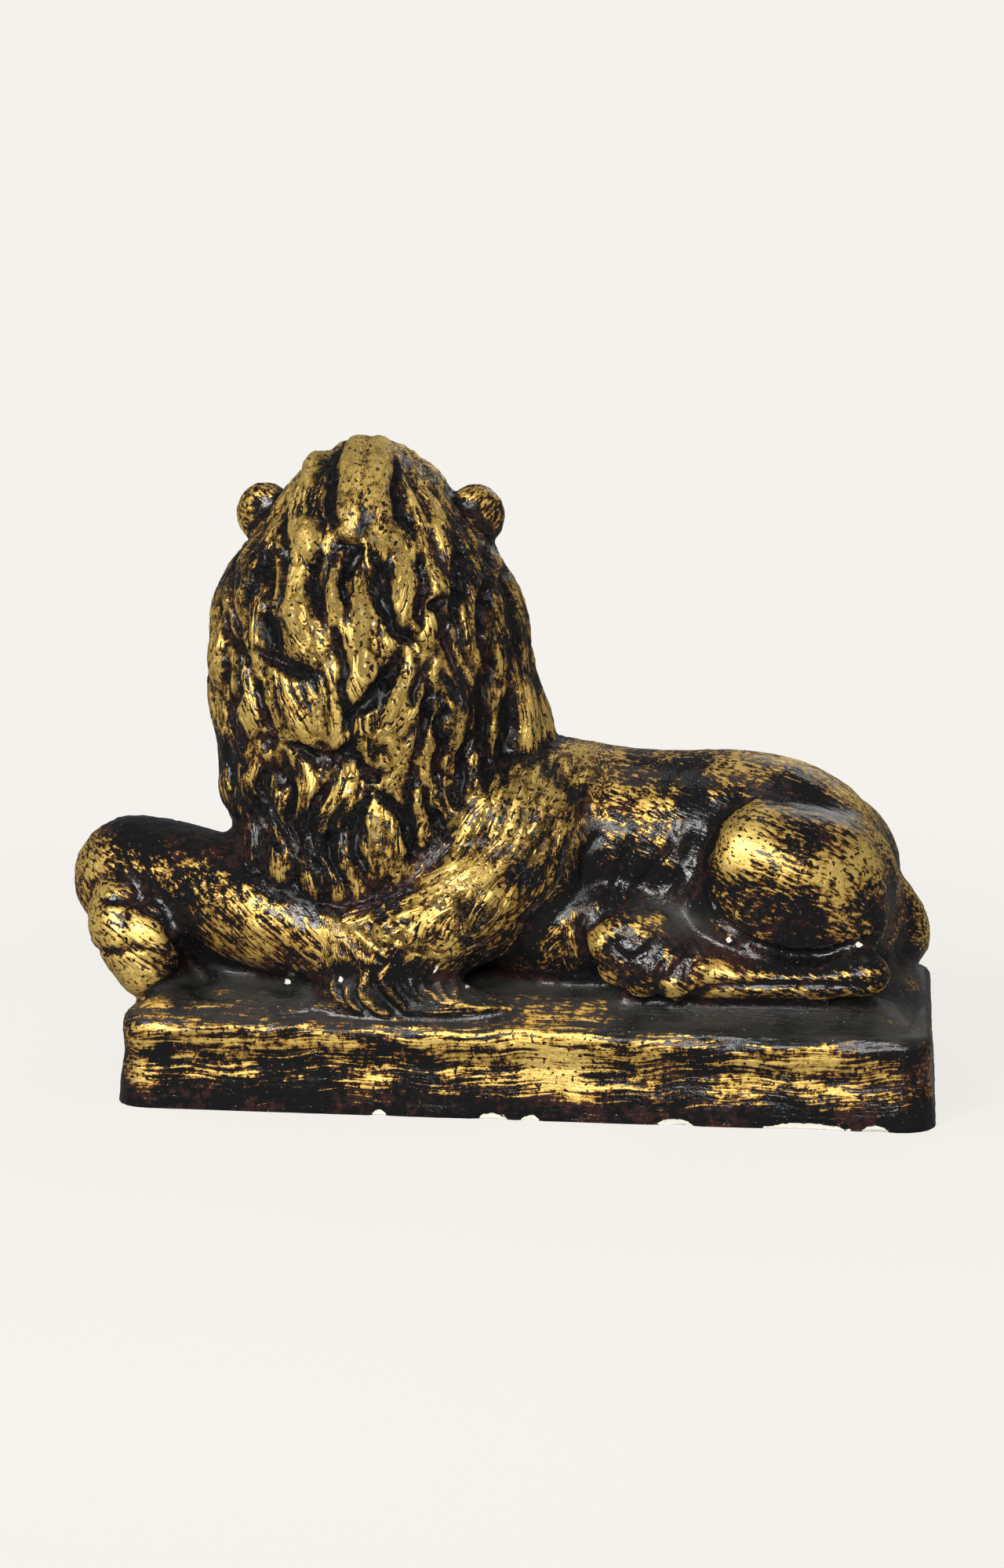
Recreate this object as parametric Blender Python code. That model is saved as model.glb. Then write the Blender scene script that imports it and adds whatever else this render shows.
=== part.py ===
"""A reclining lion on its plinth, one plaster cast: the solid, in metres, +Z up.

The long side that shows its flank faces -Y, the front paws point to -X and the head is turned to look
along +Y. The origin is at the centre of the plinth's flat underside. The figure is modelled in units of
which FIGURE_UNITS make its length, measured from the centre of the plinth's top, so that it keeps its
proportions and stays seated when a size changes.
"""

import math

import bmesh
import bpy
import numpy as np
from mathutils import Matrix, Vector
from mathutils.bvhtree import BVHTree

# Driving dimensions
PLINTH_LENGTH = 0.388
PLINTH_DEPTH = 0.166
PLINTH_HEIGHT = 0.045
PLINTH_CORNER = 0.015
PLINTH_EDGE = 0.006
PLINTH_FLARE = 0.0025
PLINTH_HOLLOW = 0.0008
GROUND_RISE = 0.009
GROUND_SLOPE = 0.020
FIGURE_LENGTH = 0.400
LOCK_HEIGHT = 0.0072
FIGURE_UNITS = 400
UNIT = FIGURE_LENGTH / FIGURE_UNITS

# Fineness of the cast
BODY_VOXEL = 0.0030
CARVING_VOXEL = 0.0020
BODY_SMOOTHING = 12
CARVING_SMOOTHING = 1
STROKE_SPACING = 0.8
TRIANGLES = 9400
SINK = 0.006

# The mane's own frame, in figure units: its upright axis, the height where it is widest, and the
# way down to there over the crown
MANE_AXIS = (-84, -3)
MANE_WIDEST = 150
MANE_QUARTER = 135
FACE_CENTRE = (-84, 8, 203)
HAIR_REACH = 135
ROOT_OVERLAP = 9
FILLER_WIDTH = 15
LOCK_FULLNESS = 1.34


def place(x, y, z):
    """A point of the figure, from figure units above the plinth's top to metres."""
    return Vector((x * UNIT, y * UNIT, PLINTH_HEIGHT + z * UNIT))


def along(values, share):
    """The value at a share of the way through a list of vectors, on a smooth curve through them."""
    last = len(values) - 1
    reached = min(max(share, 0.0), 1.0) * last
    index = min(int(reached), last - 1)
    t = reached - index
    before, start = values[max(index - 1, 0)], values[index]
    end, after = values[index + 1], values[min(index + 2, last)]
    return 0.5 * (
        2 * start
        + (end - before) * t
        + (2 * before - 5 * start + 4 * end - after) * t**2
        + (3 * start - before - 3 * end + after) * t**3
    )


class Clay:
    """Closed shapes that overlap, gathered to be fused into one skin."""

    def __init__(self):
        ball = bmesh.new()
        bmesh.ops.create_icosphere(ball, subdivisions=4, radius=1)
        self.ball_points = [v.co.copy() for v in ball.verts]
        self.ball_faces = [[v.index for v in f.verts] for f in ball.faces]
        ball.free()
        self.points = []
        self.faces = []

    def add(self, points, faces):
        """Adds one closed shape from its points and its faces' point numbers."""
        start = len(self.points)
        self.points.extend(points)
        self.faces.extend([start + i for i in face] for face in faces)

    def loft(self, loops):
        """Adds the closed shape that runs through loops with equal numbers of points, capped at both ends."""
        sides = len(loops[0])
        points = [point for loop in loops for point in loop]
        faces = [list(range(sides))[::-1], [len(points) - sides + i for i in range(sides)]]
        for ring in range(len(loops) - 1):
            for side in range(sides):
                after = (side + 1) % sides
                low, high = ring * sides, (ring + 1) * sides
                faces.append([low + side, low + after, high + after, high + side])
        self.add(points, faces)

    def ellipsoid(self, centre, radii, lean=0.0, turn=0.0):
        """Adds an ellipsoid in figure units, leaned about Y and then turned about Z, in degrees."""
        matrix = (
            Matrix.Translation(place(*centre))
            @ Matrix.Rotation(math.radians(turn), 4, "Z")
            @ Matrix.Rotation(math.radians(lean), 4, "Y")
            @ Matrix.Diagonal((*(r * UNIT for r in radii), 1))
        )
        self.add([matrix @ p for p in self.ball_points], self.ball_faces)

    def limb(self, *stations, rings=22, sides=20, caps=5):
        """Adds a round limb with round ends, through stations of x, y, z and radius in figure units."""
        values = [Vector(station) for station in stations]
        path = [along(values, i / (rings - 1)) for i in range(rings)]
        spots = [place(*p[:3]) for p in path]
        first, last = (spots[0] - spots[1]).normalized(), (spots[-1] - spots[-2]).normalized()
        side = first.orthogonal().normalized()
        loops = []
        for index, (spot, station) in enumerate(zip(spots, path)):
            onward = spots[min(index + 1, rings - 1)] - spots[max(index - 1, 0)]
            side = (side - side.project(onward)).normalized()
            up = onward.normalized().cross(side)
            radius = station[3] * UNIT
            loops.append([spot + radius * (side * math.cos(a) + up * math.sin(a)) for a in turns(sides)])
        start, end = loops[0], loops[-1]
        for cap in range(1, caps):
            angle = cap / caps * math.pi / 2
            grow, push = math.cos(angle), math.sin(angle)
            before = spots[0] + first * path[0][3] * UNIT * push
            beyond = spots[-1] + last * path[-1][3] * UNIT * push
            loops.insert(0, [before + (p - spots[0]) * grow for p in start])
            loops.append([beyond + (p - spots[-1]) * grow for p in end])
        self.loft(loops)


def turns(count):
    """Equally spaced angles round a full turn, in radians."""
    return [2 * math.pi * i / count for i in range(count)]


def plinth(clay):
    """Adds the plinth, a block with round corners and a soft top edge that widens a little downwards."""
    loops = [
        rectangle(PLINTH_FLARE, -SINK),
        rectangle(PLINTH_FLARE, 0.0),
        rectangle(PLINTH_FLARE * 0.6, PLINTH_HEIGHT * 0.25),
        rectangle(-PLINTH_HOLLOW, PLINTH_HEIGHT * 0.55),
        rectangle(0.0, PLINTH_HEIGHT * 0.75),
    ]
    for step in range(5):
        angle = step / 4 * math.pi / 2
        inset = PLINTH_EDGE * (1 - math.cos(angle))
        loops.append(rectangle(-inset, PLINTH_HEIGHT - PLINTH_EDGE * (1 - math.sin(angle))))
    clay.loft(loops)


def rectangle(outset, height, corner=PLINTH_CORNER, steps=6):
    """The plinth's outline grown by an outset at a height, with its round corners, in metres."""
    points = []
    for quarter, (across, deep) in enumerate(((1, 1), (-1, 1), (-1, -1), (1, -1))):
        x = across * (PLINTH_LENGTH / 2 - corner)
        y = deep * (PLINTH_DEPTH / 2 - corner)
        for step in range(steps):
            angle = (quarter + step / (steps - 1)) * math.pi / 2
            radius = corner + outset
            points.append(Vector((x + radius * math.cos(angle), y + radius * math.sin(angle), height)))
    return points


def ground(clay):
    """Adds the low mound that the lion lies on, which slopes up from the plinth's edges."""
    clay.loft(
        [
            rectangle(-PLINTH_EDGE, 0),
            rectangle(-PLINTH_EDGE, PLINTH_HEIGHT),
            rectangle(-GROUND_SLOPE, PLINTH_HEIGHT + GROUND_RISE, corner=PLINTH_CORNER + GROUND_SLOPE),
        ]
    )
    clay.ellipsoid((156, 0, 4), (34, 58, 20))


def torso(clay):
    """Adds the chest, barrel, loins and rump, which lie along X."""
    clay.ellipsoid((-88, 0, 52), (52, 54, 46))
    clay.ellipsoid((-34, 0, 76), (56, 58, 56))
    clay.limb(
        (-40, 0, 84, 48),
        (0, 0, 78, 49),
        (50, 0, 74, 46),
        (95, 0, 69, 52),
        (123, 0, 62, 51),
        (137, 0, 44, 44),
        sides=32,
    )
    clay.ellipsoid((100, 0, 44), (78, 60, 40))
    clay.ellipsoid((30, 0, 38), (76, 58, 38))


def flank(clay, side):
    """Adds the shoulder, haunch and hind leg of one side: -1 is the side the head turns from."""
    clay.ellipsoid((-12, 36 * side, 76), (46, 28, 42), lean=30)
    clay.ellipsoid((-34, 46 * side, 46), (40, 26, 28), lean=-10)
    clay.ellipsoid((122, 42 * side, 60), (50, 32, 40), lean=-12)
    clay.limb((108, 48 * side, 77, 27), (126, 44 * side, 70, 31), (142, 38 * side, 56, 32))
    clay.ellipsoid((132, 50 * side, 50), (42, 21, 18), lean=6)
    clay.ellipsoid((136, 22 * side, 58), (42, 38, 42))
    clay.ellipsoid((126, 30 * side, 68), (46, 34, 32), lean=24)
    clay.limb(
        (164, 62 * side, 25, 11),
        (140, 66 * side, 22, 8.5),
        (110, 67 * side, 22, 9),
        (84, 65 * side, 25, 13),
    )
    clay.ellipsoid((60, 58 * side, 30), (27, 17, 20), turn=-8 * side)
    clay.ellipsoid((84, 38 * side, 30), (44, 24, 26))


def crossed_forelegs(clay):
    """Adds the forelegs: the near one lies over the far one and its wrist overhangs the plinth's end."""
    clay.limb(
        (-24, -50, 58, 27),
        (-52, -53, 34, 26),
        (-90, -49, 33, 25),
        (-130, -37, 42, 28),
        (-168, -18, 50, 30),
        (-201, -4, 51, 32),
    )
    clay.limb(
        (-20, 50, 62, 28),
        (-55, 52, 38, 28),
        (-105, 44, 32, 26),
        (-150, 18, 28, 22),
        (-174, -14, 27, 22),
        (-187, -34, 27, 23),
    )
    clay.limb((-199, 8, 48, 29), (-201, 28, 38, 25), (-201, 38, 26, 21))
    clay.ellipsoid((-138, 0, 22), (52, 42, 24))
    clay.ellipsoid((-66, -66, 10), (30, 12, 20))
    clay.ellipsoid((-40, -66, 4), (36, 12, 12))


def mane_mass(clay):
    """Adds the mass under the mane's locks: the crown, the bell of hair and its foot on the chest."""
    clay.ellipsoid((-84, 6, 207), (49, 48, 61))
    clay.ellipsoid((-83, -3, 153), (80, 63, 98))
    clay.ellipsoid((-83, -8, 106), (73, 56, 62))
    clay.ellipsoid((-84, -32, 72), (56, 34, 40))
    clay.ellipsoid((-52, -4, 106), (52, 52, 46), lean=22)
    clay.limb((-44, -4, 176, 34), (-31, -4, 140, 34), (-18, -2, 104, 28))
    clay.ellipsoid((-84, 16, 78), (54, 54, 60))


def skull(clay):
    """Adds the skull, the bridge of the nose, the muzzle and the jaw, which look along +Y."""
    clay.ellipsoid((-84, 28, 214), (45, 40, 46))
    clay.limb((-84, 54, 228, 19), (-84, 71, 211, 13), (-84, 82, 197, 13))
    clay.ellipsoid((-84, 64, 184), (30, 27, 19))
    clay.ellipsoid((-84, 66, 166), (16, 17, 12))
    clay.ellipsoid((-84, 50, 168), (24, 30, 18))
    for side in (-1, 1):
        clay.ellipsoid((-84 + 13 * side, 77, 183), (17, 16, 15))
        clay.ellipsoid((-84 + 30 * side, 44, 194), (18, 22, 26))
        clay.limb((-84 + 6 * side, 66, 232, 9), (-84 + 20 * side, 65, 231, 9), (-84 + 34 * side, 50, 224, 9))


def tail(clay):
    """Adds the tail, from the rump down the end of the plinth's top and forward along the far side."""
    clay.limb(
        (146, 2, 78, 14),
        (162, 4, 60, 13),
        (177, 9, 38, 14),
        (181, 26, 22, 12),
        (176, 54, 15, 10),
        (156, 72, 14, 8),
        (120, 76, 14, 7),
        (92, 76, 15, 8),
        rings=40,
    )
    clay.ellipsoid((74, 75, 16), (24, 8, 10))


def fused(clay, voxel, smoothing, name):
    """The one closed skin round all of the clay, with its creases softened, as a mesh."""
    mesh = bpy.data.meshes.new(name)
    mesh.from_pydata(clay.points, [], clay.faces)
    obj = bpy.data.objects.new(name, mesh)
    bpy.context.scene.collection.objects.link(obj)
    remesh = obj.modifiers.new("Fuse", "REMESH")
    remesh.mode = "VOXEL"
    remesh.voxel_size = voxel
    smooth = obj.modifiers.new("Soften", "SMOOTH")
    smooth.factor = 0.5
    smooth.iterations = smoothing
    return settled(obj)


def settled(obj):
    """The object's mesh with its modifiers applied, with the object itself removed."""
    bpy.context.view_layer.update()
    evaluated = obj.evaluated_get(bpy.context.evaluated_depsgraph_get())
    mesh = bpy.data.meshes.new_from_object(evaluated)
    bpy.data.objects.remove(obj)
    return mesh


class Skin:
    """A smooth skin that locks are laid on by casting rays at it from within."""

    def __init__(self, mesh):
        self.tree = BVHTree.FromPolygons([v.co for v in mesh.vertices], [p.vertices for p in mesh.polygons])

    def hit(self, start, direction):
        """The point where a ray from within leaves the skin, and the way out of it there."""
        point, normal, _, _ = self.tree.ray_cast(start, direction.normalized(), HAIR_REACH * UNIT)
        return None if point is None else (point, normal)

    def mane(self, turn, drop):
        """A point of the mane: turn is round its axis from the back of the head, in degrees, and
        drop is the way down from the crown, in figure units."""
        polar = min(drop / MANE_QUARTER, 1.0) * math.pi / 2
        below = max(drop - MANE_QUARTER, 0.0)
        angle = math.radians(turn)
        across = math.sin(polar)
        direction = Vector((math.sin(angle) * across, -math.cos(angle) * across, math.cos(polar)))
        return self.hit(place(*MANE_AXIS, MANE_WIDEST - below), direction)

    def face(self, clock, tilt):
        """A point round the face: clock is the angle up from +X seen from the front, and tilt is the
        angle away from the way the head looks, in degrees."""
        c, t = math.radians(clock), math.radians(tilt)
        direction = Vector((math.cos(c) * math.sin(t), math.cos(t), math.sin(c) * math.sin(t)))
        return self.hit(place(*FACE_CENTRE), direction)


def swell(share, peak, root, tip):
    """The width of a lock along its length: from root, full at peak, then drawn in to tip."""
    if share < peak:
        return root + (1 - root) * math.sin(share / peak * math.pi / 2)
    return tip + (1 - tip) * math.cos((share - peak) / (1 - peak) * math.pi / 2)


def lock(clay, spine, width, height, peak=0.6, root=0.4, tip=0.1, rings=12, sides=12):
    """Adds one lock of hair: a ridged, curved drop along a spine of points with their normals."""
    if None in spine:
        return
    points = [p for p, _ in spine]
    normals = [n for _, n in spine]
    loops = []
    for ring in range(rings):
        share = ring / (rings - 1)
        centre = along(points, share)
        onward = along(points, min(share + 0.04, 1)) - along(points, max(share - 0.04, 0))
        out = along(normals, share).normalized()
        side = onward.cross(out).normalized()
        size = swell(share, peak, root, tip)
        rise = height * (0.55 + 0.45 * share) * size
        sunk = centre - out * height * 0.25
        loops.append(
            [
                sunk + side * (math.cos(a) * width / 2 * size) + out * (math.sin(a) * rise)
                for a in turns(sides)
            ]
        )
    clay.loft(loops)


# The rows of locks down the back of the mane. Each lock is the turn of its root, the turn of its tip,
# the drops where it starts and ends, its width and its sway
MANE_ROWS = (
    (
        (-82, -74, 18, 52, 15, 0),
        (-56, -29, 10, 60, 25, -4),
        (0, 2, 0, 50, 29, 0),
        (30, 27, 16, 56, 15, 2),
        (50, 47, 18, 53, 9, 0),
        (64, 60, 20, 57, 9, 0),
        (82, 78, 22, 60, 12, 0),
    ),
    (
        (-94, -84, 56, 112, 18, 0),
        (-76, -58, 44, 101, 21, 3),
        (-31, -14, 56, 118, 19, -9),
        (-12, -3, 50, 97, 9, 3),
        (5, 12, 60, 104, 14, -3),
        (26, 24, 53, 99, 13, 5),
        (44, 46, 56, 92, 12, -3),
        (56, 58, 72, 120, 12, 2),
        (70, 74, 54, 114, 14, 0),
        (86, 90, 50, 124, 17, 0),
    ),
    (
        (-74, -62, 96, 139, 16, 0),
        (-72, -60, 136, 166, 11, 6),
        (-50, -41, 104, 170, 13, -4),
        (-30, -11, 112, 166, 20, -3),
        (3, 8, 98, 145, 22, -3),
        (30, 9, 102, 174, 16, 9),
        (36, 20, 126, 182, 13, 10),
        (48, 44, 124, 178, 13, 5),
        (62, 63, 122, 180, 12, 0),
        (77, 76, 116, 182, 15, 0),
        (92, 88, 120, 186, 16, 0),
    ),
    (
        (-76, -58, 160, 204, 14, 0),
        (-36, -54, 152, 194, 13, -4),
        (-24, -18, 164, 203, 11, 4),
        (0, -15, 166, 212, 11, 4),
        (14, 14, 180, 225, 25, 0),
        (24, 35, 168, 214, 11, 6),
        (42, 47, 166, 206, 10, -4),
        (56, 50, 150, 202, 12, 0),
        (68, 60, 172, 216, 13, 0),
        (82, 70, 176, 214, 14, 0),
    ),
    (
        (-62, -42, 196, 238, 13, 4),
        (-42, -26, 190, 236, 12, 5),
        (-26, -10, 202, 246, 11, 3),
        (-12, -1, 208, 252, 10, 2),
        (4, 8, 220, 258, 10, 0),
        (27, 18, 212, 250, 11, -2),
        (40, 25, 204, 244, 12, -3),
        (54, 36, 198, 238, 12, -3),
    ),
)
# The rings of locks on each side of the face: first and last drop, turns, width
SIDE_RINGS = (
    (20, 72, (100, 118), 17),
    (66, 128, (106, 122), 18),
    (118, 182, (101, 117), 18),
    (172, 232, (98, 113), 17),
    (214, 258, (72, 90, 106), 16),
)
# The rings round the face: first and last tilt away from the way it looks, how many locks, width, sway
FACE_RINGS = ((42, 74, 15, 21, 4), (60, 96, 17, 22, -4), (84, 118, 17, 21, 4))


def mane_locks(clay, skin):
    """Adds the locks that hang down the back and the sides of the head, each row staggered on the next."""
    for row in MANE_ROWS:
        for root_turn, tip_turn, start, end, width, sway in row:
            mane_lock(clay, skin, root_turn, tip_turn, start - ROOT_OVERLAP, end, width * LOCK_FULLNESS, sway)
        for left, right in zip(row, row[1:]):
            root_turn, tip_turn, start, end, _, sway = ((a + b) / 2 for a, b in zip(left, right))
            mane_lock(clay, skin, root_turn, tip_turn, start + 4, end + 12, FILLER_WIDTH, -sway, share=0.8)
    for row, (start, end, sides, width) in enumerate(SIDE_RINGS):
        for side in (-1, 1):
            for index, turn in enumerate(sides):
                slip = 6 * math.sin(index * 2.7 + row * 1.9 + side)
                sway = 3 * side * math.cos(index + row)
                mane_lock(clay, skin, turn * side, turn * side, start + slip, end + slip, width, sway)


def mane_lock(clay, skin, root_turn, tip_turn, start, end, width, sway, share=1.0):
    """Adds one lock of the mane, which swings out by its sway and back on its way down."""
    height = LOCK_HEIGHT * share
    spine = []
    for step in range(6):
        down = step / 5
        turn = root_turn + (tip_turn - root_turn) * down + sway * math.sin(down * math.pi * 1.4)
        spine.append(skin.mane(turn, start + (end - start) * down))
    lock(clay, spine, width * UNIT, height)


def face_locks(clay, skin):
    """Adds the ruff that frames the face, and the beard that hangs from the chin down the chest."""
    for row, (start, end, count, width, sway) in enumerate(FACE_RINGS):
        for index in range(2 * count):
            filler = index % 2
            clock = 180 * (index + row) / count + 90
            if row == 2 and 190 < clock % 360 < 350:
                continue
            wave = sway * math.cos(index * 1.3)
            shift = 6 * filler
            spine = []
            for step in range(5):
                tilt = start + shift + (end - start) * step / 4
                spine.append(skin.face(clock + wave * math.sin(step / 4 * math.pi * 1.5), tilt))
            lock(clay, spine, (width * (1 - 0.5 * filler)) * UNIT, LOCK_HEIGHT * (0.85 - 0.25 * filler))
    for row in range(4):
        for index in range(-6, 7):
            filler = (index + row) % 2
            across = index * 9.5
            top = 156 - 30 * row - 6 * filler + 4 * math.cos(index * 1.9 + row)
            spine = []
            for step in range(5):
                spread = across * (1 - 0.06 * step)
                out = Vector((0.012 * spread, 1, 0))
                spine.append(skin.hit(place(MANE_AXIS[0] + spread * 0.5, 0, top - 12 * step), out))
            lock(clay, spine, (19 - 7 * filler) * UNIT, LOCK_HEIGHT * (0.85 - 0.25 * filler))


def shoulder_locks(clay, skin):
    """Adds the hair that sweeps from the withers down over both shoulders to the elbows."""
    for side in (-1, 1):
        for index in range(8):
            spread = index / 7
            bend = [
                Vector((-4 + 30 * spread, 0, 128 - 16 * spread)),
                Vector((-30 + 38 * spread, 0, 88 - 22 * spread)),
                Vector((-84 + 62 * spread, 0, 50 - 18 * spread)),
            ]
            spine = []
            for step in range(6):
                x, _, z = along(bend, step / 5)
                spine.append(skin.hit(place(x, 0, z), Vector((0, side, 0))))
            proud = (0.5 - 0.25 * spread) * (0.85 + 0.15 * math.cos(index * math.pi))
            lock(clay, spine, 9 * UNIT, LOCK_HEIGHT * proud, peak=0.45, root=0.2)


def ears(clay):
    """Adds the round ears, which stand out of the mane on each side of the head."""
    for side in (-1, 1):
        x = MANE_AXIS[0] + 52 * side
        clay.limb((x - 20 * side, 6, 219, 12), (x - 4 * side, 6, 229, 12), rings=8)
        clay.ellipsoid((x, 5, 232), (15, 8, 15), turn=18 * side)
        rim = [(x + 11 * math.cos(a), 10, 232 + 12 * math.sin(a), 4) for a in turns(13)]
        clay.limb(*rim, rim[0])


def face_features(clay):
    """Adds the brow ridges, eyes, cheeks, nose, muzzle pads and chin."""
    x = MANE_AXIS[0]
    for side in (-1, 1):
        clay.ellipsoid((x + 24 * side, 60, 213), (9.5, 9.5, 8.5))
        for lid, thick in ((1, 3.2), (-1, 2.4)):
            clay.limb(
                (x + 12 * side, 69, 209, thick * 0.7),
                (x + 23 * side, 68.5, 213 + 8.5 * lid, thick),
                (x + 36 * side, 58, 215, thick * 0.7),
                rings=14,
                sides=12,
            )
        clay.limb((x + 3 * side, 92, 178, 4), (x + 14 * side, 87, 173, 5), (x + 25 * side, 72, 175, 4))
        clay.ellipsoid((x + 7 * side, 93, 196), (6, 6, 6))
    clay.ellipsoid((x, 94, 198), (11, 6, 7))
    clay.ellipsoid((x, 78, 163), (12, 9, 7))


# The hind paw's toes, each with its knuckle, its arch and its tip: x, y, z and radius
HIND_TOES = (
    ((62, 59, 44, 9), (48, 61, 42, 10), (38, 59, 36, 9)),
    ((64, 63, 38, 9), (53, 65, 32, 10), (44, 63, 25, 9)),
    ((72, 66, 32, 9), (64, 68, 25, 10), (57, 66, 19, 9)),
    ((84, 66, 27, 9), (78, 69, 22, 9.5), (73, 67, 17, 8)),
)
FORE_TOES = 4
FORE_PAW_WIDTH = 33


def paws(clay):
    """Adds the toes of the hind paws and of the far forepaw, and the near forepaw's worn block."""
    for side in (-1, 1):
        for toe in HIND_TOES:
            clay.limb(*((x, y * side, z, r) for x, y, z, r in toe), rings=8, sides=14)
    for index in range(FORE_TOES):
        across = (index / (FORE_TOES - 1) - 0.5) * FORE_PAW_WIDTH
        drop = 4 * abs(across) / FORE_PAW_WIDTH
        clay.limb(
            (-201 + across, 40, 32, 8),
            (-201 + across * 1.05, 49, 22 + drop, 9.5),
            (-201 + across * 1.1, 51, 12 + drop, 7.5),
            rings=8,
            sides=12,
        )
    clay.limb((-201, -26, 46, 17), (-200, -40, 34, 17), (-187, -45, 15, 16), rings=10)
    clay.ellipsoid((-186, -44, 28), (19, 17, 21), lean=-10)


# The modeller's deeper strokes: the height, less than nothing for a channel, the half width, and the
# places that the stroke runs through, as x and z in figure units, seen from the side
MANE_STROKES = (
    (5.0, 8.6, (-89, 278), (-85, 249), (-81, 234)),
    (5.0, 8.6, (-78, 278), (-76, 249), (-74, 234)),
    (3.6, 6.5, (-107, 264), (-110, 246)),
    (-4.2, 3.4, (-94, 270), (-96, 252), (-92, 233)),
    (-4.2, 3.4, (-69, 265), (-65, 244), (-55, 228)),
    (-5.0, 3.6, (-75, 223), (-68, 205), (-56, 180)),
    (-4.6, 3.2, (-97, 222), (-101, 206), (-94, 188)),
    (-3.6, 8.0, (-124, 192), (-118, 174)),
    (-5.2, 3.6, (-60, 172), (-68, 157), (-80, 146)),
    (-4.8, 3.6, (-114, 129), (-90, 123), (-66, 117)),
    (-5.0, 3.0, (-73, 108), (-80, 86), (-75, 70)),
    (-5.0, 3.0, (-69, 106), (-55, 89), (-56, 73)),
    (-4.0, 3.0, (-41, 156), (-40, 128), (-38, 98)),
)
FLANK_STROKES = (
    (-5.5, 6.0, (103, 103), (83, 86), (80, 74), (86, 54)),
    (-3.6, 2.6, (85, 73), (96, 49), (124, 35), (171, 43)),
    (-2.4, 2.4, (46, 15), (89, 19), (169, 24)),
    (-1.8, 2.8, (87, 96), (78, 83), (67, 60)),
    (-1.8, 2.6, (71, 90), (49, 55)),
    (-1.8, 2.6, (49, 88), (40, 56)),
    (-1.6, 2.4, (34, 87), (26, 63)),
)
NEAR_STROKES = (
    (-3.8, 2.6, (-216, 47), (-178, 43), (-164, 12), (-130, 9)),
    (-1.8, 2.2, (-218, 20), (-182, 27)),
    (3.2, 2.4, (-73, 23), (-75, 12), (-59, 1)),
    (2.8, 2.2, (-63, 26), (-63, 14), (-53, 4)),
    (2.4, 2.2, (-82, 14), (-80, 7), (-70, 3)),
)


def rising(start, end, values):
    """Rises smoothly from 0 to 1 as the values go from start to end."""
    t = np.clip((values - start) / (end - start), 0, 1)
    return t * t * (3 - 2 * t)


def relief(x, z, strokes):
    """How far a set of strokes raises or sinks each place, in figure units."""
    raised, sunk = np.zeros(len(x)), np.zeros(len(x))
    for height, width, *spots in strokes:
        path = [Vector(spot) for spot in spots]
        length = sum((b - a).length for a, b in zip(path, path[1:]))
        share = np.linspace(0, 1, int(length / STROKE_SPACING) + 2)
        line = np.array([along(path, t) for t in share.tolist()])
        low, high = line.min(0) - 3 * width, line.max(0) + 3 * width
        inside = np.nonzero((x > low[0]) & (x < high[0]) & (z > low[1]) & (z < high[1]))[0]
        gaps = np.hypot(x[inside, None] - line[:, 0], z[inside, None] - line[:, 1])
        taper = np.sqrt(np.sin(np.pi * np.clip(share, 0.05, 0.95)))[gaps.argmin(1)]
        here = height * taper * np.exp(-((gaps.min(1) / (width * (0.6 + 0.4 * taper))) ** 2))
        if height > 0:
            raised[inside] = np.maximum(raised[inside], here)
        else:
            sunk[inside] = np.minimum(sunk[inside], here)
    return raised + sunk


def stroke_in(mesh):
    """Works the strokes into a fused skin: the mane's on the near side, the flanks' on both sides."""
    count = len(mesh.vertices) * 3
    points, normals = np.empty(count, np.float32), np.empty(count, np.float32)
    mesh.vertices.foreach_get("co", points)
    mesh.vertices.foreach_get("normal", normals)
    points, normals = points.reshape(-1, 3).astype(float), normals.reshape(-1, 3).astype(float)
    x, y, z = (points / UNIT).T
    z = z - PLINTH_HEIGHT / UNIT
    near = rising(0.25, -0.15, normals[:, 1]) * rising(12, 0, y)
    outward = rising(-0.25, 0.15, normals[:, 1] * np.sign(y))
    height = (relief(x, z, MANE_STROKES) + relief(x, z, NEAR_STROKES)) * near
    height += relief(x, z, FLANK_STROKES) * outward
    points += normals * height[:, None] * UNIT
    mesh.vertices.foreach_set("co", points.astype(np.float32).ravel())
    mesh.update()


def cut_underside(mesh):
    """Cuts the mesh flat at the height of the floor and closes it there."""
    shape = bmesh.new()
    shape.from_mesh(mesh)
    cut = bmesh.ops.bisect_plane(
        shape,
        geom=shape.verts[:] + shape.edges[:] + shape.faces[:],
        dist=1e-6,
        plane_co=(0, 0, 0),
        plane_no=(0, 0, -1),
        clear_outer=True,
    )
    rim = [e for e in cut["geom_cut"] if isinstance(e, bmesh.types.BMEdge)]
    bmesh.ops.contextual_create(shape, geom=rim)
    bmesh.ops.triangulate(shape, faces=shape.faces[:])
    bmesh.ops.recalc_face_normals(shape, faces=shape.faces[:])
    shape.to_mesh(mesh)
    shape.free()


def thinned(mesh, triangles):
    """The mesh with its flatter parts drawn together until about that many triangles are left."""
    obj = bpy.data.objects.new("thinning", mesh)
    bpy.context.scene.collection.objects.link(obj)
    thin = obj.modifiers.new("Thin", "DECIMATE")
    count = sum(len(p.vertices) - 2 for p in mesh.polygons)
    thin.ratio = min(1.0, triangles / count)
    return settled(obj)


def gilt_plaster():
    """The finish: black paint with gold brushed over what stands proud."""
    material = bpy.data.materials.new("gilt_plaster")
    material.use_nodes = True
    shader = material.node_tree.nodes["Principled BSDF"]
    shader.inputs["Base Color"].default_value = (0.17, 0.11, 0.03, 1)
    shader.inputs["Metallic"].default_value = 0.5
    shader.inputs["Roughness"].default_value = 0.45
    return material


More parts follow.
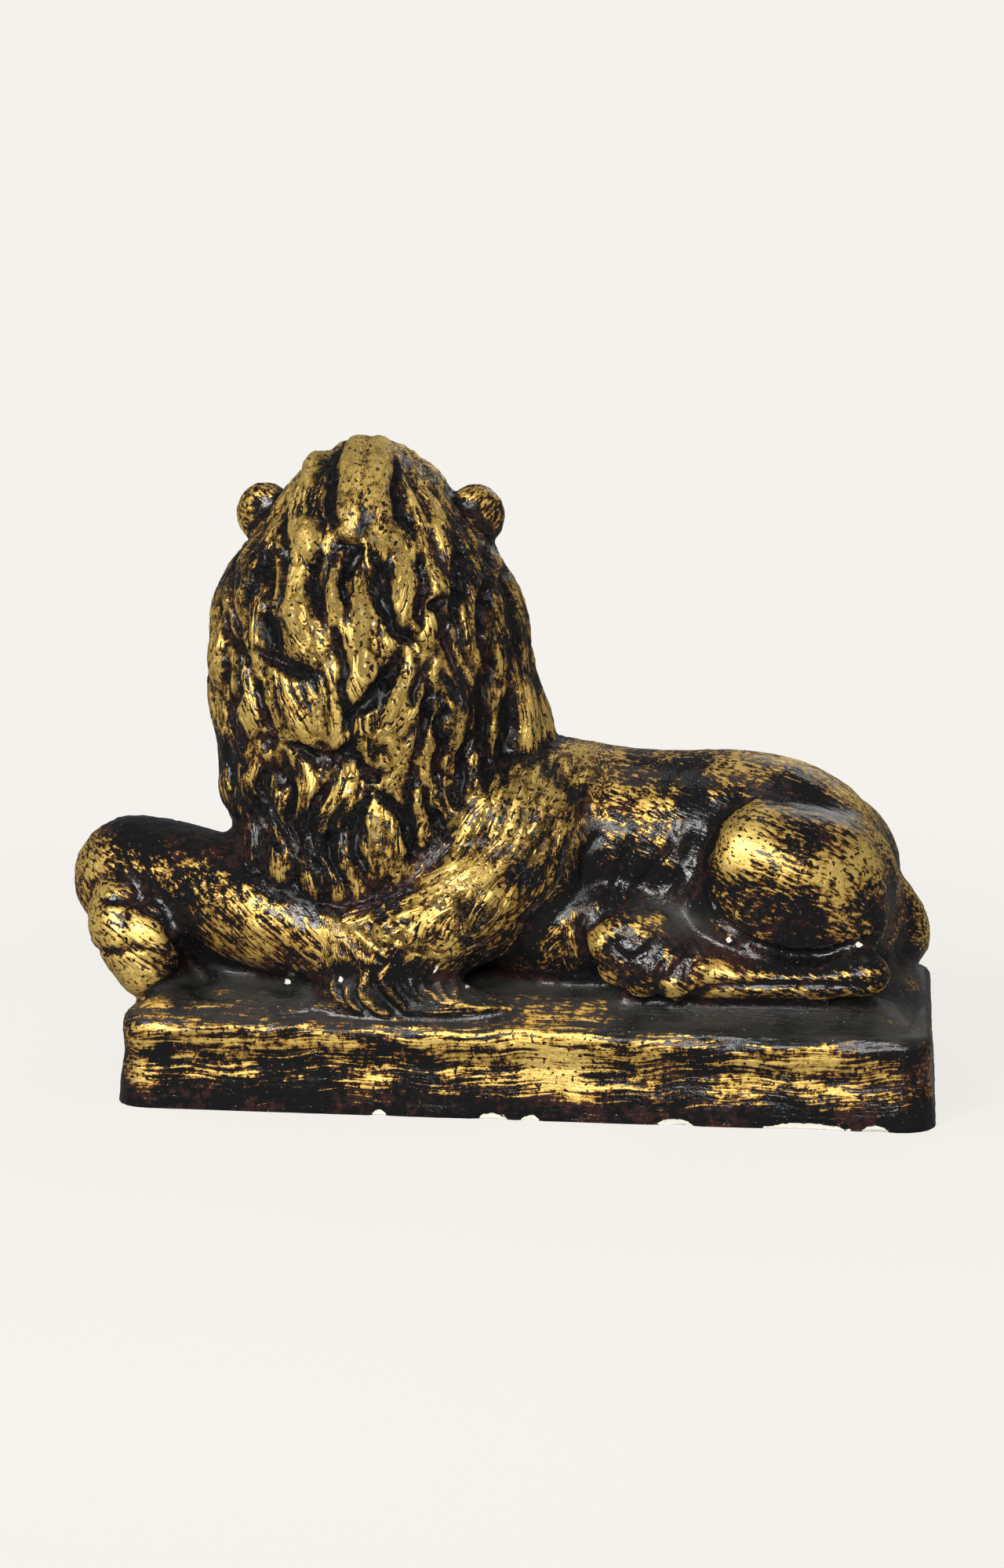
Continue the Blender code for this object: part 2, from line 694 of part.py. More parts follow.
def mane_skin():
    """The smooth skin under the mane's locks."""
    clay = Clay()
    mane_mass(clay)
    skull(clay)
    return Skin(fused(clay, BODY_VOXEL, BODY_SMOOTHING, "mane_mass"))


def body_mesh():
    """The smooth figure before its hair and toes are added."""
    clay = Clay()
    torso(clay)
    for side in (-1, 1):
        flank(clay, side)
    crossed_forelegs(clay)
    mane_mass(clay)
    skull(clay)
    tail(clay)
    ground(clay)
    return fused(clay, BODY_VOXEL, BODY_SMOOTHING, "body")


def carved_mesh():
    """The whole cast with its locks, ears, face and toes, before it is thinned."""
    body = body_mesh()
    clay = Clay()
    clay.add([v.co.copy() for v in body.vertices], [list(p.vertices) for p in body.polygons])
    plinth(clay)
    mane = mane_skin()
    mane_locks(clay, mane)
    face_locks(clay, mane)
    shoulder_locks(clay, Skin(body))
    ears(clay)
    face_features(clay)
    paws(clay)
    carving = fused(clay, CARVING_VOXEL, CARVING_SMOOTHING, "carving")
    stroke_in(carving)
    return carving


def main():
    """Builds the cast and leaves it in the scene as one object."""
    for obj in list(bpy.data.objects):
        bpy.data.objects.remove(obj)
    mesh = thinned(carved_mesh(), TRIANGLES)
    cut_underside(mesh)
    mesh.name = "lion_on_plinth"
    statue = bpy.data.objects.new("lion_on_plinth", mesh)
    bpy.context.scene.collection.objects.link(statue)
    mesh.shade_smooth()
    mesh.set_sharp_from_angle(angle=math.radians(50))
    mesh.materials.clear()
    mesh.materials.append(gilt_plaster())


main()
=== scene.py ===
"""A gilt plaster lion that lies on its plinth with its head turned aside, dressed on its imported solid.

The figure is one casting, so it is one piece here too. Its forms are worked up in clay: closed shapes that
overlap are fused into one skin, locks of hair are swept over it, and the skin is tooled, thinned and painted.
The long side that shows the lion's flank faces -Y, its forepaws point to -X and its face looks along +Y.
Places on the figure are in figure units: 400 of them make its length, measured from the plinth's top.
"""

import logging
import math
from dataclasses import dataclass, field
from enum import Enum

import bmesh
import bpy
import numpy as np
from mathutils import Matrix, Vector
from mathutils.bvhtree import BVHTree
from mathutils.kdtree import KDTree

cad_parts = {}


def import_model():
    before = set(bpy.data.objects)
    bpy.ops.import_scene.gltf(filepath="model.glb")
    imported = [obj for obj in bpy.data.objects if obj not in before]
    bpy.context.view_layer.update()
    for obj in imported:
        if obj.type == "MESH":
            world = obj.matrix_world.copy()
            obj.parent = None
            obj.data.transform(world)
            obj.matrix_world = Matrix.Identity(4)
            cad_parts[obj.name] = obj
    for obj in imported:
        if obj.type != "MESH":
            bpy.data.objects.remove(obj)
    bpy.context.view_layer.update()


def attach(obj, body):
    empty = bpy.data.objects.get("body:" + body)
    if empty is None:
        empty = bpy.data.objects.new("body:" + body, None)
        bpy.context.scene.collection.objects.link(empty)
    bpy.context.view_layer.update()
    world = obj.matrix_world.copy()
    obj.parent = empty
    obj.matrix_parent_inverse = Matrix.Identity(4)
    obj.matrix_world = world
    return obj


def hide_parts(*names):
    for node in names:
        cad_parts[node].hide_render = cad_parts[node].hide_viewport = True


log = logging.getLogger("lion")

PLINTH_HEIGHT = 0.045
FIGURE_LENGTH = 0.400
FIGURE_UNITS = 400
UNIT = FIGURE_LENGTH / FIGURE_UNITS
LOCK_HEIGHT = 0.0068

Loop = list[Vector]
Place = tuple[float, float, float]
Station = tuple[float, float, float, float]
SpinePoint = tuple[Vector, Vector]


class Side(Enum):
    """The two sides of the lying figure."""

    NEAR = -1
    FAR = 1


class Stroke(Enum):
    """The ways in which the modeller's tool and the gilder's brush run over the cast."""

    HAIR = "along_locks"
    LENGTHWISE = "along_plinth"
    RAKED = "down_forelegs"
    COMBED = "down_shoulders"
    DABBED = "over_back"


STROKE_SLOPES = {Stroke.LENGTHWISE: 2.0, Stroke.RAKED: -35.0, Stroke.COMBED: 52.0, Stroke.DABBED: -24.0}


def place(x: float, y: float, z: float) -> Vector:
    """Turns a place on the figure into metres.

    Args:
        x: Figure units from the plinth's middle towards the rump.
        y: Figure units from the plinth's middle towards the side that the face looks to.
        z: Figure units above the plinth's top.

    Returns:
        The point in metres, in the casting's frame.
    """
    return Vector((x * UNIT, y * UNIT, PLINTH_HEIGHT + z * UNIT))


def along(values: list[Vector], share: float) -> Vector:
    """Reads a smooth curve through a list of vectors.

    Args:
        values: The vectors that the curve runs through.
        share: How far along the curve, from 0 to 1.

    Returns:
        The vector there.
    """
    last = len(values) - 1
    reached = min(max(share, 0.0), 1.0) * last
    index = min(int(reached), last - 1)
    t = reached - index
    before, start = values[max(index - 1, 0)], values[index]
    end, after = values[index + 1], values[min(index + 2, last)]
    return 0.5 * (
        2 * start
        + (end - before) * t
        + (2 * before - 5 * start + 4 * end - after) * t**2
        + (3 * start - before - 3 * end + after) * t**3
    )


def turns(count: int) -> list[float]:
    """Equally spaced angles round a full turn, in radians."""
    return [2 * math.pi * i / count for i in range(count)]


def linear(red: int, green: int, blue: int) -> tuple[float, float, float, float]:
    """Turns a colour of 0 to 255 a channel, as the eye reads it, into a shader's linear colour.

    Args:
        red: The red channel.
        green: The green channel.
        blue: The blue channel.

    Returns:
        Red, green, blue and full alpha.
    """
    shares = [channel / 255 for channel in (red, green, blue)]
    return (*(c / 12.92 if c <= 0.04045 else ((c + 0.055) / 1.055) ** 2.4 for c in shares), 1.0)


class Graph:
    """A node tree under construction, for a shader or for geometry."""

    def __init__(self, tree: bpy.types.NodeTree) -> None:
        """Keeps the tree.

        Args:
            tree: The tree that nodes are added to.
        """
        self.tree = tree

    def node(self, kind: str, inputs: dict | None = None, **settings: object) -> bpy.types.Node:
        """Adds one node.

        Args:
            kind: Blender's name for the node's type.
            inputs: Sockets by name or number, each with a value or with the socket that feeds it.
            **settings: The node's own properties.

        Returns:
            The new node.
        """
        made = self.tree.nodes.new(kind)
        for name, value in settings.items():
            setattr(made, name, value)
        for key, value in (inputs or {}).items():
            self.feed(made.inputs[key], value)
        return made

    def feed(self, socket: bpy.types.NodeSocket, value: object) -> None:
        """Sets a socket's value, or links another socket to it."""
        if isinstance(value, bpy.types.NodeSocket):
            self.tree.links.new(value, socket)
        else:
            socket.default_value = value

    def sum(self, operation: str, first: object, second: object = 0.0, third: object = 0.0) -> object:
        """Adds a Math node and returns its result.

        Args:
            operation: Blender's name for the sum.
            first: The first number or socket.
            second: The second number or socket.
            third: The third number or socket.

        Returns:
            The node's output socket.
        """
        made = self.node("ShaderNodeMath", {0: first, 1: second, 2: third}, operation=operation)
        return made.outputs[0]

    def vector(self, operation: str, first: object, second: object = (0, 0, 0)) -> object:
        """Adds a Vector Math node and returns its vector."""
        made = self.node("ShaderNodeVectorMath", {0: first, 1: second}, operation=operation)
        return made.outputs[0]

    def scaled(self, first: object, factor: object) -> object:
        """Adds a Vector Math node that scales a vector by a number."""
        made = self.node("ShaderNodeVectorMath", {0: first, "Scale": factor}, operation="SCALE")
        return made.outputs[0]

    def ramp(self, value: object, low: float, high: float, start: float = 0.0, end: float = 1.0) -> object:
        """Maps a number smoothly from one range to another.

        Args:
            value: The number or socket.
            low: Where the range starts.
            high: Where the range ends.
            start: The result at its start.
            end: The result at its end.

        Returns:
            The result's socket.
        """
        made = self.node(
            "ShaderNodeMapRange",
            {"Value": value, "From Min": low, "From Max": high, "To Min": start, "To Max": end},
            interpolation_type="SMOOTHSTEP",
        )
        return made.outputs["Result"]

    def noise(self, where: object, scale: float = 1.0, detail: float = 3.0, rough: float = 0.5) -> object:
        """Adds a Noise Texture and returns its number, about 0.5 in the middle.

        Args:
            where: The socket with the coordinates.
            scale: Lumps in each unit of the coordinates.
            detail: How many finer layers it has.
            rough: How strong the finer layers are.

        Returns:
            The noise's socket.
        """
        inputs = {"Vector": where, "Scale": scale, "Detail": detail, "Roughness": rough}
        return self.node("ShaderNodeTexNoise", inputs).outputs[0]


class Clay:
    """Closed shapes that overlap, gathered to be fused into one skin."""

    def __init__(self) -> None:
        """Starts with nothing on the board."""
        ball = bmesh.new()
        bmesh.ops.create_icosphere(ball, subdivisions=4, radius=1)
        self.ball_points = [v.co.copy() for v in ball.verts]
        self.ball_faces = [[v.index for v in f.verts] for f in ball.faces]
        ball.free()
        self.points: list[Vector] = []
        self.faces: list[list[int]] = []

    def add(self, points: list[Vector], faces: list[list[int]]) -> None:
        """Adds one closed shape from its points and its faces' point numbers."""
        start = len(self.points)
        self.points.extend(points)
        self.faces.extend([start + i for i in face] for face in faces)

    def add_mesh(self, mesh: bpy.types.Mesh) -> None:
        """Adds the closed shapes of a mesh."""
        self.add([v.co.copy() for v in mesh.vertices], [list(p.vertices) for p in mesh.polygons])

    def loft(self, loops: list[Loop]) -> None:
        """Adds the closed shape that runs through loops with equal numbers of points, capped at both ends."""
        sides = len(loops[0])
        points = [point for loop in loops for point in loop]
        faces = [list(range(sides))[::-1], [len(points) - sides + i for i in range(sides)]]
        for ring in range(len(loops) - 1):
            for side in range(sides):
                after = (side + 1) % sides
                low, high = ring * sides, (ring + 1) * sides
                faces.append([low + side, low + after, high + after, high + side])
        self.add(points, faces)

    def ellipsoid(self, centre: Place, radii: Place, lean: float = 0.0, turn: float = 0.0) -> None:
        """Adds an ellipsoid.

        Args:
            centre: Its middle, in figure units.
            radii: Its three radii, in figure units.
            lean: How far it leans about Y, in degrees.
            turn: How far it is then turned about Z, in degrees.
        """
        matrix = (
            Matrix.Translation(place(*centre))
            @ Matrix.Rotation(math.radians(turn), 4, "Z")
            @ Matrix.Rotation(math.radians(lean), 4, "Y")
            @ Matrix.Diagonal((*(r * UNIT for r in radii), 1))
        )
        self.add([matrix @ p for p in self.ball_points], self.ball_faces)

    def limb(self, *stations: Station, rings: int = 22, sides: int = 20, caps: int = 5) -> None:
        """Adds a round limb with round ends.

        Args:
            *stations: The x, y, z and radius that it runs through, in figure units.
            rings: How many rings it has along its length.
            sides: How many sides each ring has.
            caps: How many rings round off each end.
        """
        values = [Vector(station) for station in stations]
        path = [along(values, i / (rings - 1)) for i in range(rings)]
        spots = [place(*p[:3]) for p in path]
        first, last = (spots[0] - spots[1]).normalized(), (spots[-1] - spots[-2]).normalized()
        side = first.orthogonal().normalized()
        loops = []
        for index, (spot, station) in enumerate(zip(spots, path)):
            onward = spots[min(index + 1, rings - 1)] - spots[max(index - 1, 0)]
            side = (side - side.project(onward)).normalized()
            up = onward.normalized().cross(side)
            radius = station[3] * UNIT
            loops.append([spot + radius * (side * math.cos(a) + up * math.sin(a)) for a in turns(sides)])
        start, end = loops[0], loops[-1]
        for cap in range(1, caps):
            angle = cap / caps * math.pi / 2
            grow, push = math.cos(angle), math.sin(angle)
            head = first * path[0][3] * UNIT * push
            tail = last * path[-1][3] * UNIT * push
            loops.insert(0, [spots[0] + (p - spots[0]) * grow + head for p in start])
            loops.append([spots[-1] + (p - spots[-1]) * grow + tail for p in end])
        self.loft(loops)

    def fused(self, voxel: float, smoothing: int, name: str) -> bpy.types.Mesh:
        """Fuses everything on the board into one closed skin.

        Args:
            voxel: The size of the grains that the skin is fused from, in metres.
            smoothing: How often its creases are softened.
            name: The mesh's name.

        Returns:
            The skin.
        """
        mesh = bpy.data.meshes.new(name)
        mesh.from_pydata(self.points, [], self.faces)
        obj = linked(mesh)
        remesh = obj.modifiers.new("Fuse", "REMESH")
        remesh.mode = "VOXEL"
        remesh.voxel_size = voxel
        smooth = obj.modifiers.new("Soften", "SMOOTH")
        smooth.factor = 0.5
        smooth.iterations = smoothing
        return settled(obj)


def settled(obj: bpy.types.Object) -> bpy.types.Mesh:
    """Applies an object's modifiers and removes the object.

    Args:
        obj: The object, which is in the scene.

    Returns:
        Its finished mesh.
    """
    bpy.context.view_layer.update()
    evaluated = obj.evaluated_get(bpy.context.evaluated_depsgraph_get())
    mesh = bpy.data.meshes.new_from_object(evaluated)
    bpy.data.objects.remove(obj)
    return mesh


def linked(mesh: bpy.types.Mesh) -> bpy.types.Object:
    """Puts a mesh into the scene as an object of the same name."""
    obj = bpy.data.objects.new(mesh.name, mesh)
    bpy.context.scene.collection.objects.link(obj)
    return obj


def geometry_tree(name: str, numbers: dict[str, float]) -> tuple[bpy.types.NodeTree, Graph, object]:
    """Starts a geometry node tree that takes a mesh, named numbers and a finish.

    Args:
        name: The tree's name.
        numbers: The named numbers, whole ones as whole.

    Returns:
        The tree, the graph that fills it and the sockets that it is given.
    """
    tree = bpy.data.node_groups.new(name, "GeometryNodeTree")
    face = tree.interface
    face.new_socket("Geometry", in_out="INPUT", socket_type="NodeSocketGeometry")
    for number, value in numbers.items():
        kind = "NodeSocketInt" if isinstance(value, int) else "NodeSocketFloat"
        face.new_socket(number, in_out="INPUT", socket_type=kind)
    face.new_socket("Finish", in_out="INPUT", socket_type="NodeSocketMaterial")
    face.new_socket("Geometry", in_out="OUTPUT", socket_type="NodeSocketGeometry")
    graph = Graph(tree)
    return tree, graph, graph.node("NodeGroupInput").outputs


def stored(graph: Graph, shape: object, name: str, value: object) -> object:
    """Stores a number on the points of a tree's shape, under a name."""
    given = {"Geometry": shape, "Name": name, "Value": value}
    return graph.node("GeometryNodeStoreNamedAttribute", given).outputs[0]


def send_out(graph: Graph, shape: object, finish: object) -> None:
    """Ends a tree: its shape is made real, takes the finish and goes out."""
    shape = graph.node("GeometryNodeRealizeInstances", {"Geometry": shape}).outputs[0]
    shape = graph.node("GeometryNodeSetMaterial", {"Geometry": shape, "Material": finish}).outputs[0]
    graph.node("NodeGroupOutput", {"Geometry": shape})


def reworked(mesh: bpy.types.Mesh, tree: bpy.types.NodeTree, given: dict[str, object]) -> bpy.types.Mesh:
    """Runs a geometry node tree on a mesh.

    Args:
        mesh: The mesh, which isn't in the scene.
        tree: The tree.
        given: What the tree's named sockets take.

    Returns:
        The new mesh.
    """
    obj = linked(mesh)
    step = obj.modifiers.new(tree.name, "NODES")
    step.node_group = tree
    for item in tree.interface.items_tree:
        if item.name in given:
            step[item.identifier] = given[item.name]
    return settled(obj)


@dataclass
class Plinth:
    """The block that the lion lies on, with the low mound on its top."""

    length: float = 0.388
    depth: float = 0.166
    height: float = PLINTH_HEIGHT
    corner: float = 0.015
    edge: float = 0.006
    flare: float = 0.0025
    hollow: float = 0.0008
    sink: float = 0.006
    ground_rise: float = 0.009
    ground_slope: float = 0.020

    def outline(self, outset: float, height: float, extra_corner: float = 0.0, steps: int = 6) -> Loop:
        """Draws the plinth's outline at a height.

        Args:
            outset: How far the outline is grown, in metres.
            height: Its height above the floor, in metres.
            extra_corner: How much rounder its corners are, in metres.
            steps: Points on each corner.

        Returns:
            The outline's points.
        """
        corner = self.corner + extra_corner
        points = []
        for quarter, (across, deep) in enumerate(((1, 1), (-1, 1), (-1, -1), (1, -1))):
            x = across * (self.length / 2 - corner)
            y = deep * (self.depth / 2 - corner)
            for step in range(steps):
                angle = (quarter + step / (steps - 1)) * math.pi / 2
                radius = corner + outset
                points.append(Vector((x + radius * math.cos(angle), y + radius * math.sin(angle), height)))
        return points

    def add_block(self, clay: Clay) -> None:
        """Adds the block, which widens a little downwards."""
        loops = [
            self.outline(self.flare, -self.sink),
            self.outline(self.flare, 0.0),
            self.outline(self.flare * 0.6, self.height * 0.25),
            self.outline(-self.hollow, self.height * 0.55),
            self.outline(0.0, self.height * 0.75),
        ]
        for step in range(5):
            angle = step / 4 * math.pi / 2
            inset = self.edge * (1 - math.cos(angle))
            loops.append(self.outline(-inset, self.height - self.edge * (1 - math.sin(angle))))
        clay.loft(loops)

    def add_ground(self, clay: Clay) -> None:
        """Adds the mound, which slopes up from the block's edges."""
        clay.loft(
            [
                self.outline(-self.edge, 0),
                self.outline(-self.edge, self.height),
                self.outline(-self.ground_slope, self.height + self.ground_rise, self.ground_slope),
            ]
        )
        clay.ellipsoid((156, 0, 4), (34, 58, 20))


@dataclass
class Body:
    """The smooth forms of the lying lion, from its chest to its tail."""

    haunch_lean: float = -12.0
    shoulder_lean: float = 30.0

    def add_to(self, clay: Clay) -> None:
        """Adds the trunk, both flanks, the forelegs and the tail."""
        self.add_trunk(clay)
        for side in Side:
            self.add_flank(clay, side.value)
        self.add_forelegs(clay)
        self.add_tail(clay)

    def add_trunk(self, clay: Clay) -> None:
        """Adds the chest, barrel, loins and rump."""
        clay.ellipsoid((-88, 0, 52), (52, 54, 46))
        clay.ellipsoid((-34, 0, 76), (56, 58, 56))
        clay.limb(
            (-40, 0, 84, 48), (0, 0, 78, 49), (50, 0, 74, 46), (95, 0, 69, 52), (123, 0, 62, 51),
            (137, 0, 44, 44),
            sides=32,
        )
        clay.ellipsoid((100, 0, 44), (78, 60, 40))
        clay.ellipsoid((30, 0, 38), (76, 58, 38))

    def add_flank(self, clay: Clay, side: int) -> None:
        """Adds the shoulder, haunch and hind leg of one side."""
        clay.ellipsoid((-12, 36 * side, 76), (46, 28, 42), lean=self.shoulder_lean)
        clay.ellipsoid((-34, 46 * side, 46), (40, 26, 28), lean=-10)
        clay.ellipsoid((122, 42 * side, 60), (50, 32, 40), lean=self.haunch_lean)
        clay.limb((108, 48 * side, 77, 27), (126, 44 * side, 70, 31), (142, 38 * side, 56, 32))
        clay.ellipsoid((132, 50 * side, 50), (42, 21, 18), lean=6)
        clay.ellipsoid((136, 22 * side, 58), (42, 38, 42))
        clay.ellipsoid((126, 30 * side, 68), (46, 34, 32), lean=24)
        clay.limb(
            (164, 62 * side, 25, 11), (140, 66 * side, 22, 8.5), (110, 67 * side, 22, 9),
            (84, 65 * side, 25, 13),
        )
        clay.ellipsoid((60, 58 * side, 30), (27, 17, 20), turn=-8 * side)
        clay.ellipsoid((84, 38 * side, 30), (44, 24, 26))

    def add_forelegs(self, clay: Clay) -> None:
        """Adds the forelegs: the near one lies over the far one and overhangs the plinth's end."""
        clay.limb(
            (-24, -50, 58, 27), (-52, -53, 34, 26), (-90, -49, 33, 25), (-130, -37, 42, 28),
            (-168, -18, 50, 30), (-201, -4, 51, 32),
        )
        clay.limb(
            (-20, 50, 62, 28), (-55, 52, 38, 28), (-105, 44, 32, 26), (-150, 18, 28, 22),
            (-174, -14, 27, 22), (-187, -34, 27, 23),
        )
        clay.limb((-199, 8, 48, 29), (-201, 28, 38, 25), (-201, 38, 26, 21))
        clay.ellipsoid((-138, 0, 22), (52, 42, 24))
        clay.ellipsoid((-66, -66, 10), (30, 12, 20))
        clay.ellipsoid((-40, -66, 4), (36, 12, 12))

    def add_tail(self, clay: Clay) -> None:
        """Adds the tail, from the rump down the plinth's end and forward along the far side."""
        clay.limb(
            (146, 2, 78, 14), (162, 4, 60, 13), (177, 9, 38, 14), (181, 26, 22, 12), (176, 54, 15, 10),
            (156, 72, 14, 8), (120, 76, 14, 7), (92, 76, 15, 8),
            rings=40,
        )
        clay.ellipsoid((74, 75, 16), (24, 8, 10))


@dataclass
class Head:
    """The head under the hair, with its ears and its face, which looks along +Y."""

    middle: float = -84.0
    ear_reach: float = 52.0
    ear_height: float = 232.0
    eye_reach: float = 24.0
    eye_height: float = 213.0

    def add_skull(self, clay: Clay) -> None:
        """Adds the skull, the bridge of the nose, the muzzle and the jaw."""
        x = self.middle
        clay.ellipsoid((x, 28, 214), (45, 40, 46))
        clay.limb((x, 54, 228, 19), (x, 71, 211, 13), (x, 82, 197, 13))
        clay.ellipsoid((x, 64, 184), (30, 27, 19))
        clay.ellipsoid((x, 66, 166), (16, 17, 12))
        clay.ellipsoid((x, 50, 168), (24, 30, 18))
        for side in (-1, 1):
            clay.ellipsoid((x + 13 * side, 77, 183), (17, 16, 15))
            clay.ellipsoid((x + 30 * side, 44, 194), (18, 22, 26))
            clay.limb((x + 6 * side, 66, 232, 9), (x + 20 * side, 65, 231, 9), (x + 34 * side, 50, 224, 9))

    def add_ears(self, clay: Clay) -> None:
        """Adds the round ears, which stand out of the mane on each side."""
        for side in (-1, 1):
            x, z = self.middle + self.ear_reach * side, self.ear_height
            clay.limb((x - 20 * side, 6, z - 13, 12), (x - 4 * side, 6, z - 3, 12), rings=8)
            clay.ellipsoid((x, 5, z), (15, 8, 15), turn=18 * side)
            rim = [(x + 11 * math.cos(a), 10, z + 12 * math.sin(a), 4) for a in turns(13)]
            clay.limb(*rim, rim[0])

    def add_features(self, clay: Clay) -> None:
        """Adds the eyes, nose, muzzle pads and chin."""
        x, z = self.middle, self.eye_height
        for side in (-1, 1):
            clay.ellipsoid((x + self.eye_reach * side, 60, z), (9.5, 9.5, 8.5))
            for lid, thick in ((1, 3.2), (-1, 2.4)):
                clay.limb(
                    (x + 12 * side, 69, z - 4, thick * 0.7), (x + 23 * side, 68.5, z + 8.5 * lid, thick),
                    (x + 36 * side, 58, z + 2, thick * 0.7),
                    rings=14,
                    sides=12,
                )
            clay.limb((x + 3 * side, 92, 178, 4), (x + 14 * side, 87, 173, 5), (x + 25 * side, 72, 175, 4))
            clay.ellipsoid((x + 7 * side, 93, 196), (6, 6, 6))
        clay.ellipsoid((x, 94, 198), (11, 6, 7))
        clay.ellipsoid((x, 78, 163), (12, 9, 7))


@dataclass
class Paws:
    """The toes of the hind paws, the far forepaw's toes and the near forepaw's worn block."""

    hind_toes: tuple = (
        ((62, 59, 44, 9), (48, 61, 42, 10), (38, 59, 36, 9)),
        ((64, 63, 38, 9), (53, 65, 32, 10), (44, 63, 25, 9)),
        ((72, 66, 32, 9), (64, 68, 25, 10), (57, 66, 19, 9)),
        ((84, 66, 27, 9), (78, 69, 22, 9.5), (73, 67, 17, 8)),
    )
    fore_toes: int = 4
    fore_paw: float = -201
    fore_paw_width: float = 33

    def add_to(self, clay: Clay) -> None:
        """Adds what shows of each paw."""
        for side in Side:
            for toe in self.hind_toes:
                clay.limb(*((x, y * side.value, z, r) for x, y, z, r in toe), rings=8, sides=14)
        for index in range(self.fore_toes):
            across = (index / (self.fore_toes - 1) - 0.5) * self.fore_paw_width
            drop = 4 * abs(across) / self.fore_paw_width
            clay.limb(
                (self.fore_paw + across, 40, 32, 8), (self.fore_paw + across * 1.05, 49, 22 + drop, 9.5),
                (self.fore_paw + across * 1.1, 51, 12 + drop, 7.5),
                rings=8,
                sides=12,
            )
        clay.limb((self.fore_paw, -26, 46, 17), (-200, -40, 34, 17), (-187, -45, 15, 16), rings=10)
        clay.ellipsoid((-186, -44, 28), (19, 17, 21), lean=-10)


class Skin:
    """A smooth skin that locks are laid on by casting rays at it from within."""

    def __init__(self, mesh: bpy.types.Mesh, reach: float = 135.0) -> None:
        """Readies a mesh for rays.

        Args:
            mesh: The skin.
            reach: How far out a ray looks for it, in figure units.
        """
        self.tree = BVHTree.FromPolygons([v.co for v in mesh.vertices], [p.vertices for p in mesh.polygons])
        self.reach = reach

    def hit(self, start: Vector, direction: Vector) -> SpinePoint | None:
        """The point where a ray from within leaves the skin, and the way out of it there."""
        point, normal, _, _ = self.tree.ray_cast(start, direction.normalized(), self.reach * UNIT)
        return None if point is None else (point, normal)


